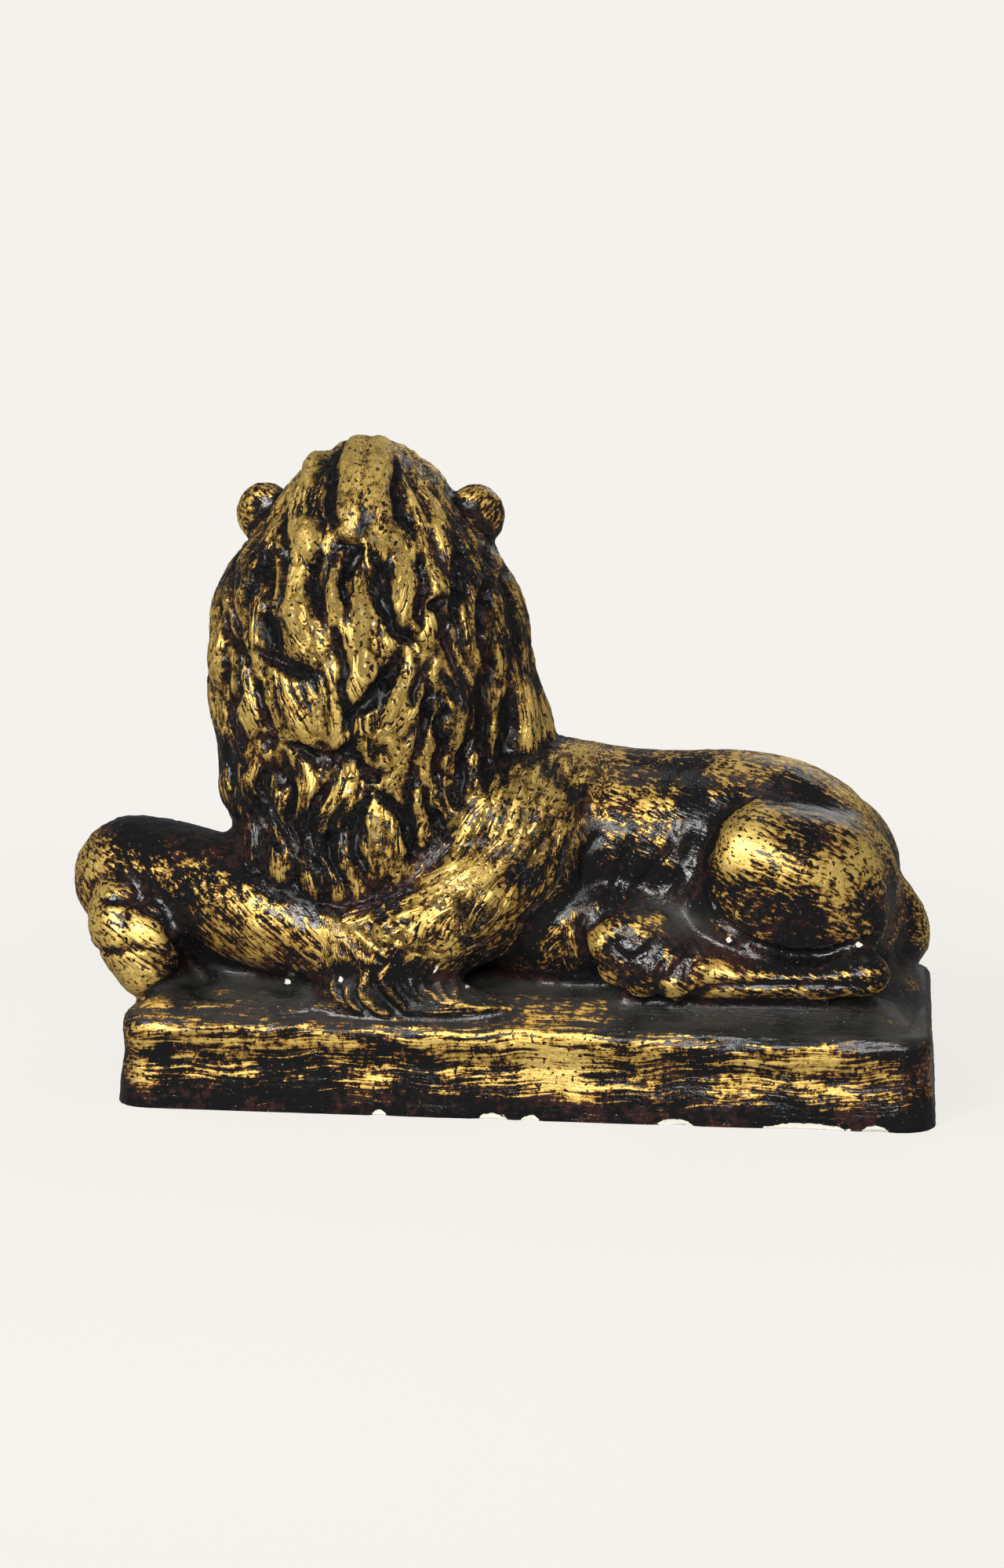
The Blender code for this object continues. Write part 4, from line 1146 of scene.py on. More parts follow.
@dataclass
class Tooling:
    """The marks that the modeller's tool left, cut into the fused skin by geometry nodes."""

    hair_spacing: float = 0.0042
    hair_depth: float = 0.0008
    rake_spacing: float = 0.0030
    rake_depth: float = 0.0004
    grain_spacing: float = 0.0030
    grain_depth: float = 0.0002
    lump_size: float = 0.0110
    lump_depth: float = 0.0011
    patch_size: float = 0.030
    seed: int = 7

    def tree(self) -> bpy.types.NodeTree:
        """Builds the nodes that push the skin in and out along its normals."""
        tree, graph, given = geometry_tree("tool_marks", self.inputs())
        where = graph.node("GeometryNodeInputPosition").outputs[0]
        drift = given["Seed"]
        strand = graph.node(
            "ShaderNodeCombineXYZ",
            {
                "X": graph.sum("DIVIDE", LockSweep.read(graph, "across"), given["Hair Spacing"]),
                "Y": graph.sum("DIVIDE", LockSweep.read(graph, "run"), given["Hair Run"]),
                "Z": graph.sum("MULTIPLY_ADD", LockSweep.read(graph, "seed"), 40.0, drift),
            },
        ).outputs[0]
        hair = self.groove(graph, strand, given["Hair Depth"], Stroke.HAIR)
        fine = self.inverse(graph, given["Rake Spacing"])
        coarse = self.inverse(graph, given["Grain Spacing"])
        total = hair
        for stroke, size, depth in (
            (Stroke.RAKED, fine, given["Rake Depth"]), (Stroke.COMBED, fine, given["Rake Depth"]),
            (Stroke.DABBED, coarse, given["Grain Depth"]),
            (Stroke.LENGTHWISE, coarse, given["Grain Depth"]),
        ):
            streaked = graph.scaled(self.turned(graph, where, STROKE_SLOPES[stroke], (8.0, 1.5, 1.0)), size)
            total = graph.sum("ADD", total, self.groove(graph, streaked, depth, stroke))
        lumps = graph.noise(graph.scaled(where, self.inverse(graph, given["Lump Size"])), 1.0, 2.0)
        lump = graph.sum("MULTIPLY", graph.sum("SUBTRACT", lumps, 0.78), given["Lump Depth"])
        total = graph.sum("ADD", total, lump)
        push = graph.scaled(graph.node("GeometryNodeInputNormal").outputs[0], total)
        patches = graph.noise(graph.scaled(where, self.inverse(graph, given["Patch Size"])), 1.0, 5.0, 0.6)
        shape = stored(graph, given["Geometry"], "patches", patches)
        shape = graph.node("GeometryNodeSetPosition", {"Geometry": shape, "Offset": push}).outputs[0]
        send_out(graph, shape, given["Finish"])
        return tree

    def inputs(self) -> dict[str, float]:
        """The tree's named sizes and their values."""
        return {
            "Hair Spacing": self.hair_spacing,
            "Hair Run": self.hair_spacing * 6,
            "Hair Depth": self.hair_depth,
            "Rake Spacing": self.rake_spacing,
            "Rake Depth": self.rake_depth,
            "Grain Spacing": self.grain_spacing,
            "Grain Depth": self.grain_depth,
            "Lump Size": self.lump_size,
            "Lump Depth": self.lump_depth,
            "Patch Size": self.patch_size,
            "Seed": float(self.seed),
        }

    @staticmethod
    def inverse(graph: Graph, value: object) -> object:
        """One divided by a socket's number."""
        return graph.sum("DIVIDE", 1.0, value)

    @staticmethod
    def turned(graph: Graph, where: object, lean: float, stretch: Place) -> object:
        """Leans coordinates about Y and draws them out, so that a pattern on them runs in streaks.

        Args:
            graph: The tree.
            where: The coordinates' socket.
            lean: The streaks' slope, in degrees.
            stretch: How much longer the pattern is each way.

        Returns:
            The new coordinates' socket.
        """
        leaned = graph.node(
            "ShaderNodeVectorRotate",
            {"Vector": where, "Axis": (0, 1, 0), "Angle": math.radians(lean)},
            rotation_type="AXIS_ANGLE",
        ).outputs[0]
        return graph.vector("DIVIDE", leaned, stretch)

    @staticmethod
    def groove(graph: Graph, where: object, depth: object, stroke: Stroke) -> object:
        """Streaks of one kind of stroke, where the skin is marked for it.

        Args:
            graph: The tree.
            where: The streaks' coordinates.
            depth: How deep they cut, in metres.
            stroke: The kind of stroke.

        Returns:
            How far the skin is pushed out.
        """
        streaks = graph.noise(where, 1.0, 1.5)
        cut = graph.sum("MULTIPLY", graph.sum("SUBTRACT", streaks, 0.55), depth)
        marked = LockSweep.read(graph, stroke.value)
        return graph.sum("MULTIPLY", graph.sum("MULTIPLY", cut, 4.0), marked)

    def applied(self, mesh: bpy.types.Mesh, material: bpy.types.Material) -> bpy.types.Mesh:
        """Cuts the marks into a mesh that says where each kind of stroke goes.

        Args:
            mesh: The fused skin.
            material: The finish that it takes.

        Returns:
            The tooled mesh.
        """
        return reworked(mesh, self.tree(), {**self.inputs(), "Finish": material})


@dataclass(frozen=True)
class GiltPaint:
    """The finish: glossy black paint, gold brushed over it, dust, and bare plaster in chips."""

    slot: str = "gilt_plaster"
    black: tuple = linear(17, 17, 18)
    umber: tuple = linear(46, 28, 26)
    rust: tuple = linear(138, 84, 36)
    ochre: tuple = linear(168, 124, 44)
    gold: tuple = linear(250, 216, 124)
    dust: tuple = linear(56, 56, 53)
    plaster: tuple = linear(214, 212, 200)
    black_roughness: float = 0.16
    gold_roughness: float = 0.46
    gloss: float = 0.36
    metal: float = 0.78
    relief: float = 0.0009
    ragged_grain: float = 300.0
    grit_grain: float = 1100.0
    hole_grain: float = 520.0
    pit_edge: tuple = (0.69, 0.72)
    speck_edge: tuple = (0.225, 0.205)
    dash_edge: tuple = (0.43, 0.36)
    laid_edge: tuple = (0.485, 0.525)
    thin_edge: tuple = (0.44, 0.50)
    rich_edge: tuple = (0.49, 0.68)
    umber_edge: tuple = (0.48, 0.66)
    bare_edge: tuple = (0.45, 0.52)
    varnish: float = 0.10
    varnish_roughness: float = 0.16

    def material(self) -> bpy.types.Material:
        """Builds the finish as shader nodes.

        Returns:
            The material, which reads the paint's marks on the mesh and Object coordinates.
        """
        material = bpy.data.materials.new(self.slot)
        material.use_nodes = True
        graph = Graph(material.node_tree)
        shader = material.node_tree.nodes["Principled BSDF"]
        where = graph.node("ShaderNodeTexCoord").outputs["Object"]
        grain = graph.node("ShaderNodeAttribute", attribute_name="grain").outputs["Vector"]
        strokes = graph.noise(grain, 1.0, 2.0, 0.6)
        patches = self.mark(graph, "patches")
        ragged = graph.noise(where, self.ragged_grain, 3.0, 0.6)
        grit = graph.noise(where, self.grit_grain, 1.0)
        holes = graph.noise(where, self.hole_grain, 0.0)
        pits = graph.ramp(holes, *self.pit_edge)
        specks = graph.ramp(grit, *self.speck_edge)
        dashes = graph.ramp(strokes, *self.dash_edge)
        # The gilt mark also carries painted shade: less gold on upward faces and at the mane's two sides.
        cover = self.mark(graph, "gilt")
        for noise, strength in ((strokes, 1.15), (ragged, 0.65), (grit, 0.30)):
            cover = graph.sum("ADD", cover, self.spread(graph, noise, strength))
        cover = graph.sum("SUBTRACT", cover, graph.sum("MULTIPLY", pits, 0.35))
        combed = graph.sum("MULTIPLY_ADD", self.mark(graph, Stroke.HAIR.value), 0.30, 0.10)
        combed = graph.sum("MULTIPLY_ADD", self.mark(graph, Stroke.RAKED.value), 0.14, combed)
        cover = graph.sum("SUBTRACT", cover, graph.sum("MULTIPLY", dashes, combed))
        laid = graph.ramp(cover, *self.laid_edge)
        thin = graph.ramp(cover, *self.thin_edge)
        rich = graph.ramp(cover, *self.rich_edge)
        broken = graph.sum("ADD", patches, self.spread(graph, ragged, 0.7))
        dark = self.blend(graph, graph.ramp(broken, *self.umber_edge), self.black, self.umber)
        dusty = graph.sum("MULTIPLY", self.mark(graph, "dust"), graph.ramp(patches, 0.25, 0.6))
        dark = self.blend(graph, dusty, dark, self.dust)
        dark = self.blend(graph, graph.sum("MULTIPLY", thin, 0.6), dark, self.rust)
        bright = self.blend(graph, rich, self.ochre, self.gold)
        bright = self.blend(graph, graph.ramp(grit, 0.35, 0.65, 0.0, 0.35), bright, self.ochre)
        colour = self.blend(graph, laid, dark, bright)
        chipped = graph.sum("ADD", self.mark(graph, "bare"), self.spread(graph, ragged, 0.5))
        bare = graph.ramp(chipped, *self.bare_edge)
        bare = graph.sum("MAXIMUM", bare, graph.sum("MULTIPLY", specks, 0.7))
        colour = self.blend(graph, bare, colour, self.plaster)
        sound = graph.sum("SUBTRACT", 1.0, bare)
        rough = graph.ramp(laid, 0.0, 1.0, self.black_roughness, self.gold_roughness)
        rough = graph.sum("ADD", rough, graph.sum("MULTIPLY", dusty, 0.5))
        rough = graph.sum("ADD", rough, self.spread(graph, ragged, 0.25))
        rough = graph.sum("ADD", rough, graph.sum("MULTIPLY", bare, 0.4))
        shader.inputs["Specular IOR Level"].default_value = self.gloss
        shader.inputs["Coat Weight"].default_value = self.varnish
        shader.inputs["Coat Roughness"].default_value = self.varnish_roughness
        graph.feed(shader.inputs["Base Color"], colour)
        metal = graph.sum("MULTIPLY", graph.sum("MULTIPLY", laid, sound), self.metal)
        graph.feed(shader.inputs["Metallic"], metal)
        graph.feed(shader.inputs["Roughness"], rough)
        relief = graph.sum("MULTIPLY", laid, 0.20)
        relief = graph.sum("SUBTRACT", relief, graph.sum("MULTIPLY", pits, 0.25))
        combing = graph.sum("MULTIPLY_ADD", self.mark(graph, Stroke.HAIR.value), 0.60, 0.30)
        for noise, strength in ((strokes, combing), (ragged, 0.3), (grit, 0.08)):
            relief = graph.sum("ADD", relief, graph.sum("MULTIPLY", noise, strength))
        bump = graph.node("ShaderNodeBump", {"Height": relief, "Distance": self.relief, "Strength": 1.0})
        graph.feed(shader.inputs["Normal"], bump.outputs[0])
        return material

    @staticmethod
    def mark(graph: Graph, name: str) -> object:
        """Reads one of the paint's marks on the mesh."""
        return graph.node("ShaderNodeAttribute", attribute_name=name).outputs["Fac"]

    @staticmethod
    def spread(graph: Graph, noise: object, strength: float) -> object:
        """Noise about zero, as strong as asked."""
        return graph.sum("MULTIPLY", graph.sum("SUBTRACT", noise, 0.5), strength)

    @staticmethod
    def blend(graph: Graph, share: object, first: object, second: object) -> object:
        """Mixes two colours by a share.

        Args:
            graph: The tree.
            share: How much of the second colour there is.
            first: The first colour or its socket.
            second: The second colour or its socket.

        Returns:
            The mixed colour's socket.
        """
        node = graph.node("ShaderNodeMix", data_type="RGBA")
        graph.feed(node.inputs["Factor"], share)
        graph.feed(node.inputs[6], first)
        graph.feed(node.inputs[7], second)
        return node.outputs[2]


@dataclass
class Casting:
    """The whole cast: forms fused into one skin, tooled, cut flat, thinned and marked for paint."""

    body_voxel: float = 0.0030
    body_smoothing: int = 12
    carving_voxel: float = 0.00135
    carving_smoothing: int = 2
    triangles: int = 194000
    plinth: Plinth = field(default_factory=Plinth)
    body: Body = field(default_factory=Body)
    head: Head = field(default_factory=Head)
    mane: Mane = field(default_factory=Mane)
    shoulder_hair: ShoulderHair = field(default_factory=ShoulderHair)
    paws: Paws = field(default_factory=Paws)
    carving: Carving = field(default_factory=Carving)
    tooling: Tooling = field(default_factory=Tooling)
    paint: GiltPaint = field(default_factory=GiltPaint)

    def build(self) -> bpy.types.Object:
        """Builds the cast.

        Returns:
            The finished object, at the origin.
        """
        material = self.paint.material()
        smooth = self.smooth_figure()
        hair = self.hair(Skin(smooth)).swept(material)
        log.info("hair: %d points", len(hair.vertices))
        clay = Clay()
        clay.add_mesh(smooth)
        clay.add_mesh(hair)
        self.plinth.add_block(clay)
        self.head.add_ears(clay)
        self.head.add_features(clay)
        self.paws.add_to(clay)
        skin = clay.fused(self.carving_voxel, self.carving_smoothing, "carving")
        log.info("fused skin: %d points", len(skin.vertices))
        self.carving.cut(skin)
        marks = HairMarks(hair)
        marks.write(skin)
        skin = self.tooling.applied(skin, material)
        paint_marks = PaintMarks(self.plinth)
        paint_marks.knock_chips(skin)
        dense = points_of(skin)
        measured = paint_marks.measured(skin)
        self.cut_underside(skin)
        skin = self.thinned(skin)
        log.info("thinned skin: %d points", len(skin.vertices))
        marks.write(skin)
        nearest = KDTree(len(dense))
        for index, point in enumerate(dense.tolist()):
            nearest.insert(point, index)
        nearest.balance()
        from_dense = np.array([nearest.find(point)[1] for point in points_of(skin).tolist()])
        for name, values in measured.items():
            write_floats(skin, name, values[from_dense])
        skin.name = "lion_casting"
        skin.shade_smooth()
        skin.materials.clear()
        skin.materials.append(material)
        obj = bpy.data.objects.new("lion_casting", skin)
        bpy.context.scene.collection.objects.link(obj)
        return obj

    def smooth_figure(self) -> bpy.types.Mesh:
        """The figure before its hair and its features, with the mound that it lies on."""
        clay = Clay()
        self.body.add_to(clay)
        self.mane.add_mass(clay)
        self.head.add_skull(clay)
        self.plinth.add_ground(clay)
        return clay.fused(self.body_voxel, self.body_smoothing, "body")

    def hair(self, body_skin: Skin) -> LockSweep:
        """Lays every lock on the skin under it."""
        clay = Clay()
        self.mane.add_mass(clay)
        self.head.add_skull(clay)
        skin = Skin(clay.fused(self.body_voxel, self.body_smoothing, "mane_mass"))
        sweep = LockSweep()
        self.mane.add_locks(sweep, skin)
        self.mane.add_ruff(sweep, skin)
        self.mane.add_beard(sweep, skin)
        self.shoulder_hair.add_sweep(sweep, body_skin)
        return sweep

    @staticmethod
    def cut_underside(mesh: bpy.types.Mesh) -> None:
        """Cuts the mesh flat at the height of the floor and closes it there."""
        shape = bmesh.new()
        shape.from_mesh(mesh)
        cut = bmesh.ops.bisect_plane(
            shape,
            geom=shape.verts[:] + shape.edges[:] + shape.faces[:],
            dist=1e-6,
            plane_co=(0, 0, 0),
            plane_no=(0, 0, -1),
            clear_outer=True,
        )
        rim = [e for e in cut["geom_cut"] if isinstance(e, bmesh.types.BMEdge)]
        bmesh.ops.contextual_create(shape, geom=rim)
        bmesh.ops.triangulate(shape, faces=shape.faces[:])
        bmesh.ops.recalc_face_normals(shape, faces=shape.faces[:])
        shape.to_mesh(mesh)
        shape.free()

    def thinned(self, mesh: bpy.types.Mesh) -> bpy.types.Mesh:
        """Draws the flatter parts of a mesh together until it has few enough triangles."""
        obj = linked(mesh)
        thin = obj.modifiers.new("Thin", "DECIMATE")
        thin.ratio = min(1.0, self.triangles / len(mesh.polygons))
        return settled(obj)


class HairMarks:
    """What the swept locks say of each point: how far along and across its lock it is."""

    NEAR = 0.0010
    FAR = 0.0026
    # Where each part of the figure sets in and is full, along X and then upwards, in figure units.
    FORELEG = ((-70, -96), (8, 16))
    SHOULDER = ((40, 16), (8, 18))
    BACK_HEIGHTS = (2, 10)
    STRAND_SCALE = np.array([760.0, 75.0, 40.0])
    STREAKS = 680.0
    STREAK_LENGTHS = {Stroke.LENGTHWISE: 16.0, Stroke.RAKED: 11.0, Stroke.COMBED: 8.0, Stroke.DABBED: 5.5}

    def __init__(self, hair: bpy.types.Mesh) -> None:
        """Readies the locks' surface.

        Args:
            hair: The swept locks.
        """
        self.faces = [list(p.vertices) for p in hair.polygons if len(p.vertices) == 4]
        self.places = points_of(hair)
        self.tree = BVHTree.FromPolygons([Vector(p) for p in self.places.tolist()], self.faces)
        self.corners = np.array(self.faces)
        self.values = {name: floats_of(hair, name) for name in ("run", "across", "seed")}

    def write(self, mesh: bpy.types.Mesh) -> None:
        """Marks a mesh with the nearest lock's measures and with the strokes that run over it."""
        points = points_of(mesh)
        found = [self.tree.find_nearest(p) for p in points.tolist()]
        faces = np.array([f[2] for f in found])
        far = np.array([f[3] for f in found])
        corners = self.corners[faces]
        gaps = np.linalg.norm(self.places[corners] - points[:, None], axis=2) + 1e-6
        weights = 1 / gaps**2
        weights /= weights.sum(1, keepdims=True)
        for name, values in self.values.items():
            write_floats(mesh, name, (values[corners] * weights).sum(1))
        on_hair = np.clip(1 - (far - self.NEAR) / (self.FAR - self.NEAR), 0, 1)
        units = points / UNIT
        x, z = units[:, 0], units[:, 2] - PLINTH_HEIGHT / UNIT
        foreleg = smooth_step(*self.FORELEG[0], x) * smooth_step(*self.FORELEG[1], z)
        along_x, upward = self.SHOULDER
        shoulder = smooth_step(*along_x, x) * (1 - foreleg) * smooth_step(*upward, z)
        back = smooth_step(*self.BACK_HEIGHTS, z) * (1 - foreleg) * (1 - shoulder)
        bare_skin = 1 - on_hair
        shares = {
            Stroke.RAKED: foreleg * bare_skin,
            Stroke.COMBED: shoulder * bare_skin,
            Stroke.DABBED: back * bare_skin,
            Stroke.LENGTHWISE: (1 - foreleg) * (1 - shoulder) * (1 - back) * bare_skin,
        }
        write_floats(mesh, Stroke.HAIR.value, on_hair)
        strand = np.stack([floats_of(mesh, name) for name in ("across", "run", "seed")], axis=1)
        grain = strand * self.STRAND_SCALE * on_hair[:, None]
        for stroke, share in shares.items():
            write_floats(mesh, stroke.value, share)
            grain += self.streaked(points, stroke) * share[:, None]
        held = mesh.attributes.get("grain") or mesh.attributes.new("grain", "FLOAT_VECTOR", "POINT")
        held.data.foreach_set("vector", grain.astype(np.float32).ravel())

    def streaked(self, points: np.ndarray, stroke: Stroke) -> np.ndarray:
        """Coordinates for streaks that rise by a stroke's slope and waver a little on their way."""
        lean = math.radians(STROKE_SLOPES[stroke])
        x, y, z = points.T
        onward = x * math.cos(lean) + z * math.sin(lean)
        aside = z * math.cos(lean) - x * math.sin(lean)
        aside = aside + 0.0012 * np.sin(onward * 70 + y * 25) + 0.0006 * np.sin(onward * 190 + aside * 120)
        return np.stack([onward / self.STREAK_LENGTHS[stroke], y / 1.5, aside], axis=1) * self.STREAKS


def smooth_step(start: float, end: float, values: np.ndarray) -> np.ndarray:
    """Rises smoothly from 0 to 1 as the values go from start to end."""
    t = np.clip((values - start) / (end - start), 0, 1)
    return t * t * (3 - 2 * t)


def points_of(mesh: bpy.types.Mesh) -> np.ndarray:
    """The places of a mesh's points, a row each."""
    flat = np.empty(len(mesh.vertices) * 3, np.float32)
    mesh.vertices.foreach_get("co", flat)
    return flat.reshape(-1, 3).astype(float)


def normals_of(mesh: bpy.types.Mesh) -> np.ndarray:
    """The ways out of a mesh at its points, a row each."""
    flat = np.empty(len(mesh.vertices) * 3, np.float32)
    mesh.vertices.foreach_get("normal", flat)
    return flat.reshape(-1, 3).astype(float)


def floats_of(mesh: bpy.types.Mesh, name: str) -> np.ndarray:
    """A named number of each of a mesh's points."""
    flat = np.empty(len(mesh.vertices), np.float32)
    mesh.attributes[name].data.foreach_get("value", flat)
    return flat.astype(float)


def write_floats(mesh: bpy.types.Mesh, name: str, values: np.ndarray) -> None:
    """Writes a named number on each of a mesh's points."""
    held = mesh.attributes.get(name) or mesh.attributes.new(name, "FLOAT", "POINT")
    held.data.foreach_set("value", values.astype(np.float32))


@dataclass(frozen=True)
class Patch:
    """A place on a flank where the gilder laid more gold, or less, in figure units."""

    x: float
    z: float
    reach: float
    breadth: float
    slope: float
    gold: float

    def at(self, x: np.ndarray, z: np.ndarray) -> np.ndarray:
        """The gold that this patch adds at each place."""
        lean = math.radians(self.slope)
        onward = (x - self.x) * math.cos(lean) + (z - self.z) * math.sin(lean)
        aside = (z - self.z) * math.cos(lean) - (x - self.x) * math.sin(lean)
        return self.gold * np.exp(-((onward / self.reach) ** 2) - (aside / self.breadth) ** 2)


@dataclass
class PaintMarks:
    """Where the gold lies, with less on upward faces and at the mane's sides as painted shade, where dust
    settles and where the plaster is bare, a number a point.
    """

    plinth: Plinth
    fine_passes: int = 6
    wide_passes: int = 60
    patch_strength: float = 1.1
    ground_gold: float = 0.435
    proud_gold: float = 0.15
    hollow_loss: float = 0.34
    crisp_gold: float = 0.08
    wide_height: float = 0.0013
    fine_height: float = 0.0003
    # How much gold upward-facing surfaces lose, as painted shade: it makes their tops read darker.
    painted_top_shade: float = 0.30
    patches: tuple[Patch, ...] = (
        Patch(-28, 88, 62, 14, 53, 0.20), Patch(12, 126, 18, 16, 0, 0.18), Patch(100, 119, 52, 8, -4, 0.22),
        Patch(50, 128, 30, 6, -4, -0.16), Patch(56, 104, 40, 7, -8, 0.12),
        Patch(156, 96, 30, 12, -52, 0.20), Patch(140, 90, 14, 12, 0, -0.22),
        Patch(116, 108, 26, 5, -6, -0.20), Patch(104, 90, 18, 16, 0, 0.24), Patch(134, 74, 18, 7, 0, 0.06),
        Patch(150, 64, 12, 22, 0, 0.10), Patch(126, 48, 52, 16, 0, -0.28), Patch(80, 78, 9, 34, 0, -0.40),
        Patch(130, 24, 52, 12, 0, -0.14), Patch(166, 30, 10, 10, 0, 0.14), Patch(60, 32, 30, 18, 0, -0.26),
        Patch(38, 42, 6, 8, 0, 0.22), Patch(58, 44, 7, 5, 0, 0.30), Patch(68, 34, 5, 5, 0, 0.24),
        Patch(64, 28, 16, 14, 0, -0.12), Patch(46, 36, 8, 14, 0, -0.12), Patch(70, 20, 7, 4, 0, 0.30),
        Patch(90, 28, 8, 4, 0, 0.28), Patch(-164, 24, 9, 20, 0, -0.24), Patch(-130, 118, 34, 24, 0, -0.12),
        Patch(-30, 190, 16, 60, 0, -0.08), Patch(-134, 200, 8, 26, 0, -0.14),
        Patch(-84, 262, 16, 16, 0, -0.04), Patch(-106, 226, 12, 14, 0, 0.12),
        Patch(-102, 190, 10, 22, 0, 0.08), Patch(-62, 146, 10, 24, -60, 0.10),
        Patch(-140, 30, 60, 30, -30, -0.07), Patch(44, 70, 40, 22, 10, -0.12),
        Patch(24, 46, 34, 8, 20, 0.08), Patch(-122, 44, 48, 10, -33, 0.02),
        Patch(-108, 22, 26, 9, -30, -0.14), Patch(-160, 84, 66, 15, 0, -0.34),
        Patch(-198, 36, 16, 9, 0, 0.16), Patch(-188, 14, 15, 9, 0, 0.14), Patch(168, 58, 10, 30, 0, -0.16),
        Patch(-132, 12, 40, 9, -10, -0.16), Patch(-20, 18, 40, 14, 0, -0.16),
        Patch(20, -12, 44, 14, 0, 0.13), Patch(126, -12, 32, 12, 0, 0.08),
        Patch(-130, -12, 56, 12, 0, 0.02), Patch(-172, 2, 22, 3, 0, 0.30), Patch(14, 1, 50, 3, 0, 0.12),
        Patch(112, -2, 60, 4, -2, -0.14), Patch(168, -4, 26, 9, 0, -0.14), Patch(76, -22, 18, 16, 0, -0.10),
        Patch(184, -16, 14, 30, 0, -0.24), Patch(-200, -22, 12, 40, 0, -0.26),
    )
    settled_dust: Patch = Patch(73, 48, 18, 6, -10, 0.9)
    chips: tuple = (
        (0.136, 0.022), (0.075, 0.009), (0.168, 0.007), (-0.012, 0.008), (0.006, 0.005), (-0.066, 0.004),
    )
    nicks: tuple = (
        (98, 41), (158, 39), (79, 55), (-51, 24), (-40, 24), (-87, 18), (9, 37), (-26, 15), (-115, 12),
        (-101, 275), (-70, 188), (-83, 108),
    )
    nick_size: float = 1.4
    chip_height: float = 0.0032
    chip_depth: float = 0.0016
    chip_reach: float = 0.006
    fade: float = 1.4

    def knock_chips(self, mesh: bpy.types.Mesh) -> None:
        """Breaks the bottom edge away where it is chipped."""
        points = points_of(mesh)
        broken = np.clip(self.bare(points), 0, 1)
        points[:, 1] += broken * self.chip_depth
        mesh.vertices.foreach_set("co", points.astype(np.float32).ravel())
        mesh.update()

    def measured(self, mesh: bpy.types.Mesh) -> dict[str, np.ndarray]:
        """Works out the paint's marks on an evenly meshed skin.

        Args:
            mesh: The skin, with points about evenly spaced.

        Returns:
            Each mark's name with its number at each point.
        """
        points, normals = points_of(mesh), normals_of(mesh)
        fine, wide = self.proudness(mesh, points, normals)
        units = points / UNIT
        units[:, 2] -= PLINTH_HEIGHT / UNIT
        share = np.where(wide > 0, self.proud_gold, self.hollow_loss)
        crisp = self.crisp_gold * np.tanh(fine / self.fine_height)
        proud = np.tanh(wide / self.wide_height) * share + crisp
        gilt = self.zones(units) + proud * (1 - 0.8 * smooth_step(6, -2, units[:, 2]))
        patches = floats_of(mesh, "patches")
        gilt += self.patch_strength * (patches - 0.5)
        # Painted shade: upward-facing surfaces below the crown lose gold, so their tops turn darker.
        upward = np.clip(normals[:, 2] - 0.45, 0, 1)
        gilt -= self.painted_top_shade * upward * (units[:, 2] < 150)
        flat = np.clip(normals[:, 2], 0, 1) ** 2
        dust = flat * smooth_step(30, 12, units[:, 2]) * (units[:, 2] > -8)
        beside = self.settled_dust.at(units[:, 0], units[:, 2]) * (np.abs(normals[:, 1]) < 0.95)
        dust = np.maximum(dust, beside)
        bare = self.bare(points)
        for x, z in self.nicks:
            gap = np.hypot(units[:, 0] - x, units[:, 2] - z) / self.nick_size
            bare = np.maximum(bare, np.clip(self.fade - gap, 0, 1) * (units[:, 1] < 0))
        return {"gilt": gilt, "dust": dust, "bare": bare, "patches": patches}

    def proudness(
        self, mesh: bpy.types.Mesh, points: np.ndarray, normals: np.ndarray
    ) -> tuple[np.ndarray, np.ndarray]:
        """Measures how far each point stands out of its surroundings.

        Args:
            mesh: The mesh.
            points: Its points' places.
            normals: The ways out at its points.

        Returns:
            The height over the near and over the wider surroundings, in metres.
        """
        pairs = np.empty(len(mesh.edges) * 2, np.int32)
        mesh.edges.foreach_get("vertices", pairs)
        a, b = pairs[0::2], pairs[1::2]
        count = np.bincount(pairs, minlength=len(points)).astype(float)
        softened = points.copy()
        heights = []
        for step in range(self.wide_passes):
            total = np.empty_like(softened)
            for axis in range(3):
                total[:, axis] = np.bincount(a, softened[b, axis], len(points))
                total[:, axis] += np.bincount(b, softened[a, axis], len(points))
            softened = total / count[:, None]
            if step == self.fine_passes - 1:
                heights.append(((points - softened) * normals).sum(1))
        heights.append(((points - softened) * normals).sum(1))
        return heights[0], heights[1]

    def zones(self, units: np.ndarray) -> np.ndarray:
        """How much gold the gilder laid on each part of the figure, with less at the mane's two sides as
        painted shade.
        """
        x, _, z = units.T
        gilt = np.full(len(units), self.ground_gold)
        mane = smooth_step(70, 100, z) * smooth_step(14, -16, x)
        gilt += 0.04 * mane
        # Painted shade: less gold towards both sides of the mane, where it turns away from the light.
        gilt -= 0.14 * mane * smooth_step(-58, -14, x)
        gilt -= 0.10 * mane * smooth_step(-128, -160, x)
        gilt += 0.03 * smooth_step(0, -6, z)
        gilt -= 0.30 * smooth_step(-27, -40, z)
        for patch in self.patches:
            gilt += patch.at(x, z)
        return gilt

    def bare(self, points: np.ndarray) -> np.ndarray:
        """Where the paint is chipped off the bottom edge, down to the plaster."""
        bare = np.zeros(len(points))
        front = -self.plinth.depth / 2 - self.plinth.flare
        for x, reach in self.chips:
            gap = np.hypot((points[:, 0] - x) / reach, points[:, 2] / self.chip_height)
            gap = np.hypot(gap, (points[:, 1] - front) / self.chip_reach)
            bare = np.maximum(bare, np.clip(self.fade - gap, 0, 1))
        return bare


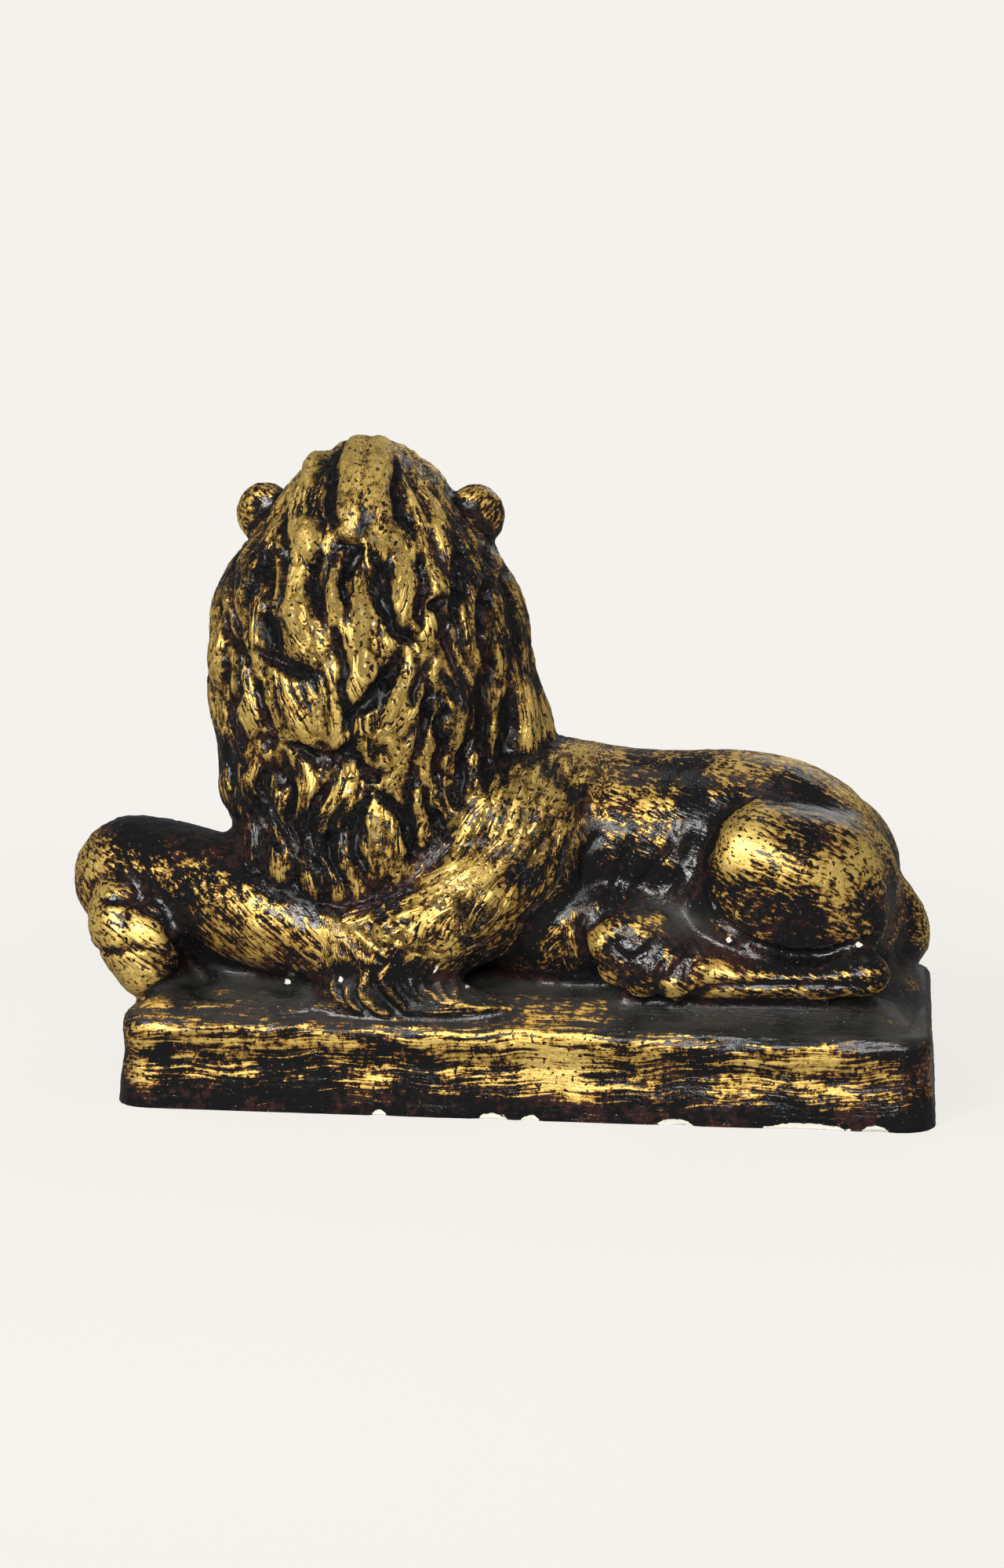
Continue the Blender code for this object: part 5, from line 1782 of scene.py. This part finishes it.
@dataclass
class Studio:
    """The plain pale studio: a round floor that runs up into a wall, soft lights and the camera."""

    floor_reach: float = 3.6
    bend: float = 1.6
    wall_height: float = 3.6
    floor_sides: int = 96
    pale: tuple = linear(245, 242, 237)
    paper: tuple = linear(98, 97, 95)
    near_ring: tuple[float, float] = (0.25, 0.80)
    near_glow: float = 0.86
    azimuth: float = 7.0
    elevation: float = 10.0
    distance: float = 1.6
    lens: float = 74.8
    target: tuple[float, float, float] = (-0.0178, 0.0, 0.1462)
    # Each light's name, place and width in metres, and power in watts.
    lights: tuple = (
        ("key", (-0.8, -1.6, 1.2), 0.55, 27.0),
        ("front", (0.2, -2.1, 1.0), 0.7, 22.0),
        ("top", (0.1, 0.3, 1.9), 0.8, 1.6),
        ("back", (0.5, 1.7, 1.1), 0.8, 3.0),
    )
    lamp: tuple[float, float, float] = (1.0, 0.99, 0.97)
    room: tuple[float, float, float, float] = (0.95, 0.97, 1.0, 1)
    room_strength: float = 0.12

    def build(self) -> None:
        """Builds the floor, the lights and the camera."""
        self.add_floor()
        for row in self.lights:
            self.add_light(*row)
        self.add_world()
        self.add_camera()

    def add_floor(self) -> None:
        """Adds the floor with its round wall, as one turned sheet."""
        profile = [(0.0, 0.0), (self.floor_reach * 0.5, 0.0), (self.floor_reach, 0.0)]
        for step in range(1, 9):
            angle = step / 8 * math.pi / 2
            profile.append(
                (self.floor_reach + self.bend * math.sin(angle), self.bend * (1 - math.cos(angle)))
            )
        profile.append((self.floor_reach + self.bend, self.wall_height))
        sheet = bmesh.new()
        rings = []
        for radius, height in profile[1:]:
            ring = [(radius * math.cos(a), radius * math.sin(a), height) for a in turns(self.floor_sides)]
            rings.append([sheet.verts.new(spot) for spot in ring])
        sheet.faces.new(rings[0])
        for low, high in zip(rings, rings[1:]):
            for side in range(self.floor_sides):
                after = (side + 1) % self.floor_sides
                sheet.faces.new((low[side], low[after], high[after], high[side]))
        bmesh.ops.recalc_face_normals(sheet, faces=sheet.faces[:])
        mesh = bpy.data.meshes.new("studio_floor")
        sheet.to_mesh(mesh)
        sheet.free()
        mesh.shade_smooth()
        material = bpy.data.materials.new("pale_paper")
        material.use_nodes = True
        shader = material.node_tree.nodes["Principled BSDF"]
        graph = Graph(material.node_tree)
        where = graph.node("ShaderNodeTexCoord").outputs["Object"]
        gap = graph.node("ShaderNodeVectorMath", {0: where}, operation="LENGTH").outputs["Value"]
        far = graph.ramp(gap, *self.near_ring)
        graph.feed(shader.inputs["Base Color"], GiltPaint.blend(graph, far, self.paper, (0, 0, 0, 1)))
        shader.inputs["Roughness"].default_value = 0.9
        shader.inputs["Specular IOR Level"].default_value = 0.0
        shader.inputs["Emission Color"].default_value = self.pale
        glow = graph.sum("MULTIPLY_ADD", far, 1 - self.near_glow, self.near_glow)
        graph.feed(shader.inputs["Emission Strength"], glow)
        mesh.materials.append(material)
        floor = bpy.data.objects.new("studio_floor", mesh)
        bpy.context.scene.collection.objects.link(floor)
        floor.visible_glossy = False

    def add_light(self, name: str, spot: Place, size: float, power: float) -> None:
        """Adds one soft light that faces the figure.

        Args:
            name: The light's name.
            spot: Where it hangs, in metres.
            size: Its width, in metres.
            power: Its power, in watts.
        """
        light = bpy.data.lights.new(name, "AREA")
        light.size = size
        light.energy = power
        light.color = self.lamp
        obj = bpy.data.objects.new(name, light)
        obj.location = spot
        obj.rotation_euler = (Vector(self.target) - Vector(spot)).to_track_quat("-Z", "Y").to_euler()
        bpy.context.scene.collection.objects.link(obj)

    def add_world(self) -> None:
        """Adds the dim light that fills the room."""
        world = bpy.data.worlds.new("studio")
        world.use_nodes = True
        backdrop = world.node_tree.nodes["Background"]
        backdrop.inputs["Color"].default_value = self.room
        backdrop.inputs["Strength"].default_value = self.room_strength
        bpy.context.scene.world = world

    def add_camera(self) -> None:
        """Adds the camera, which sees the near flank and the back of the turned head."""
        data = bpy.data.cameras.new("camera")
        data.lens = self.lens
        data.clip_start, data.clip_end = 0.05, 50
        camera = bpy.data.objects.new("camera", data)
        a, e = math.radians(self.azimuth), math.radians(self.elevation)
        back = Vector((math.sin(a) * math.cos(e), -math.cos(a) * math.cos(e), math.sin(e)))
        camera.location = Vector(self.target) + back * self.distance
        camera.rotation_euler = (-back).to_track_quat("-Z", "Y").to_euler()
        bpy.context.scene.collection.objects.link(camera)
        bpy.context.scene.camera = camera


def main() -> None:
    """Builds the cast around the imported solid, and the studio that shows it."""
    logging.basicConfig(level=logging.INFO, format="%(name)s: %(message)s")
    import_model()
    cast = Casting().build()
    log.info("cast: %d triangles", sum(len(p.vertices) - 2 for p in cast.data.polygons))
    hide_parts("lion_on_plinth")
    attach(cast, "root")
    Studio().build()
    view = bpy.context.scene.view_settings
    view.view_transform = "Standard"


if __name__ == "__main__":
    main()
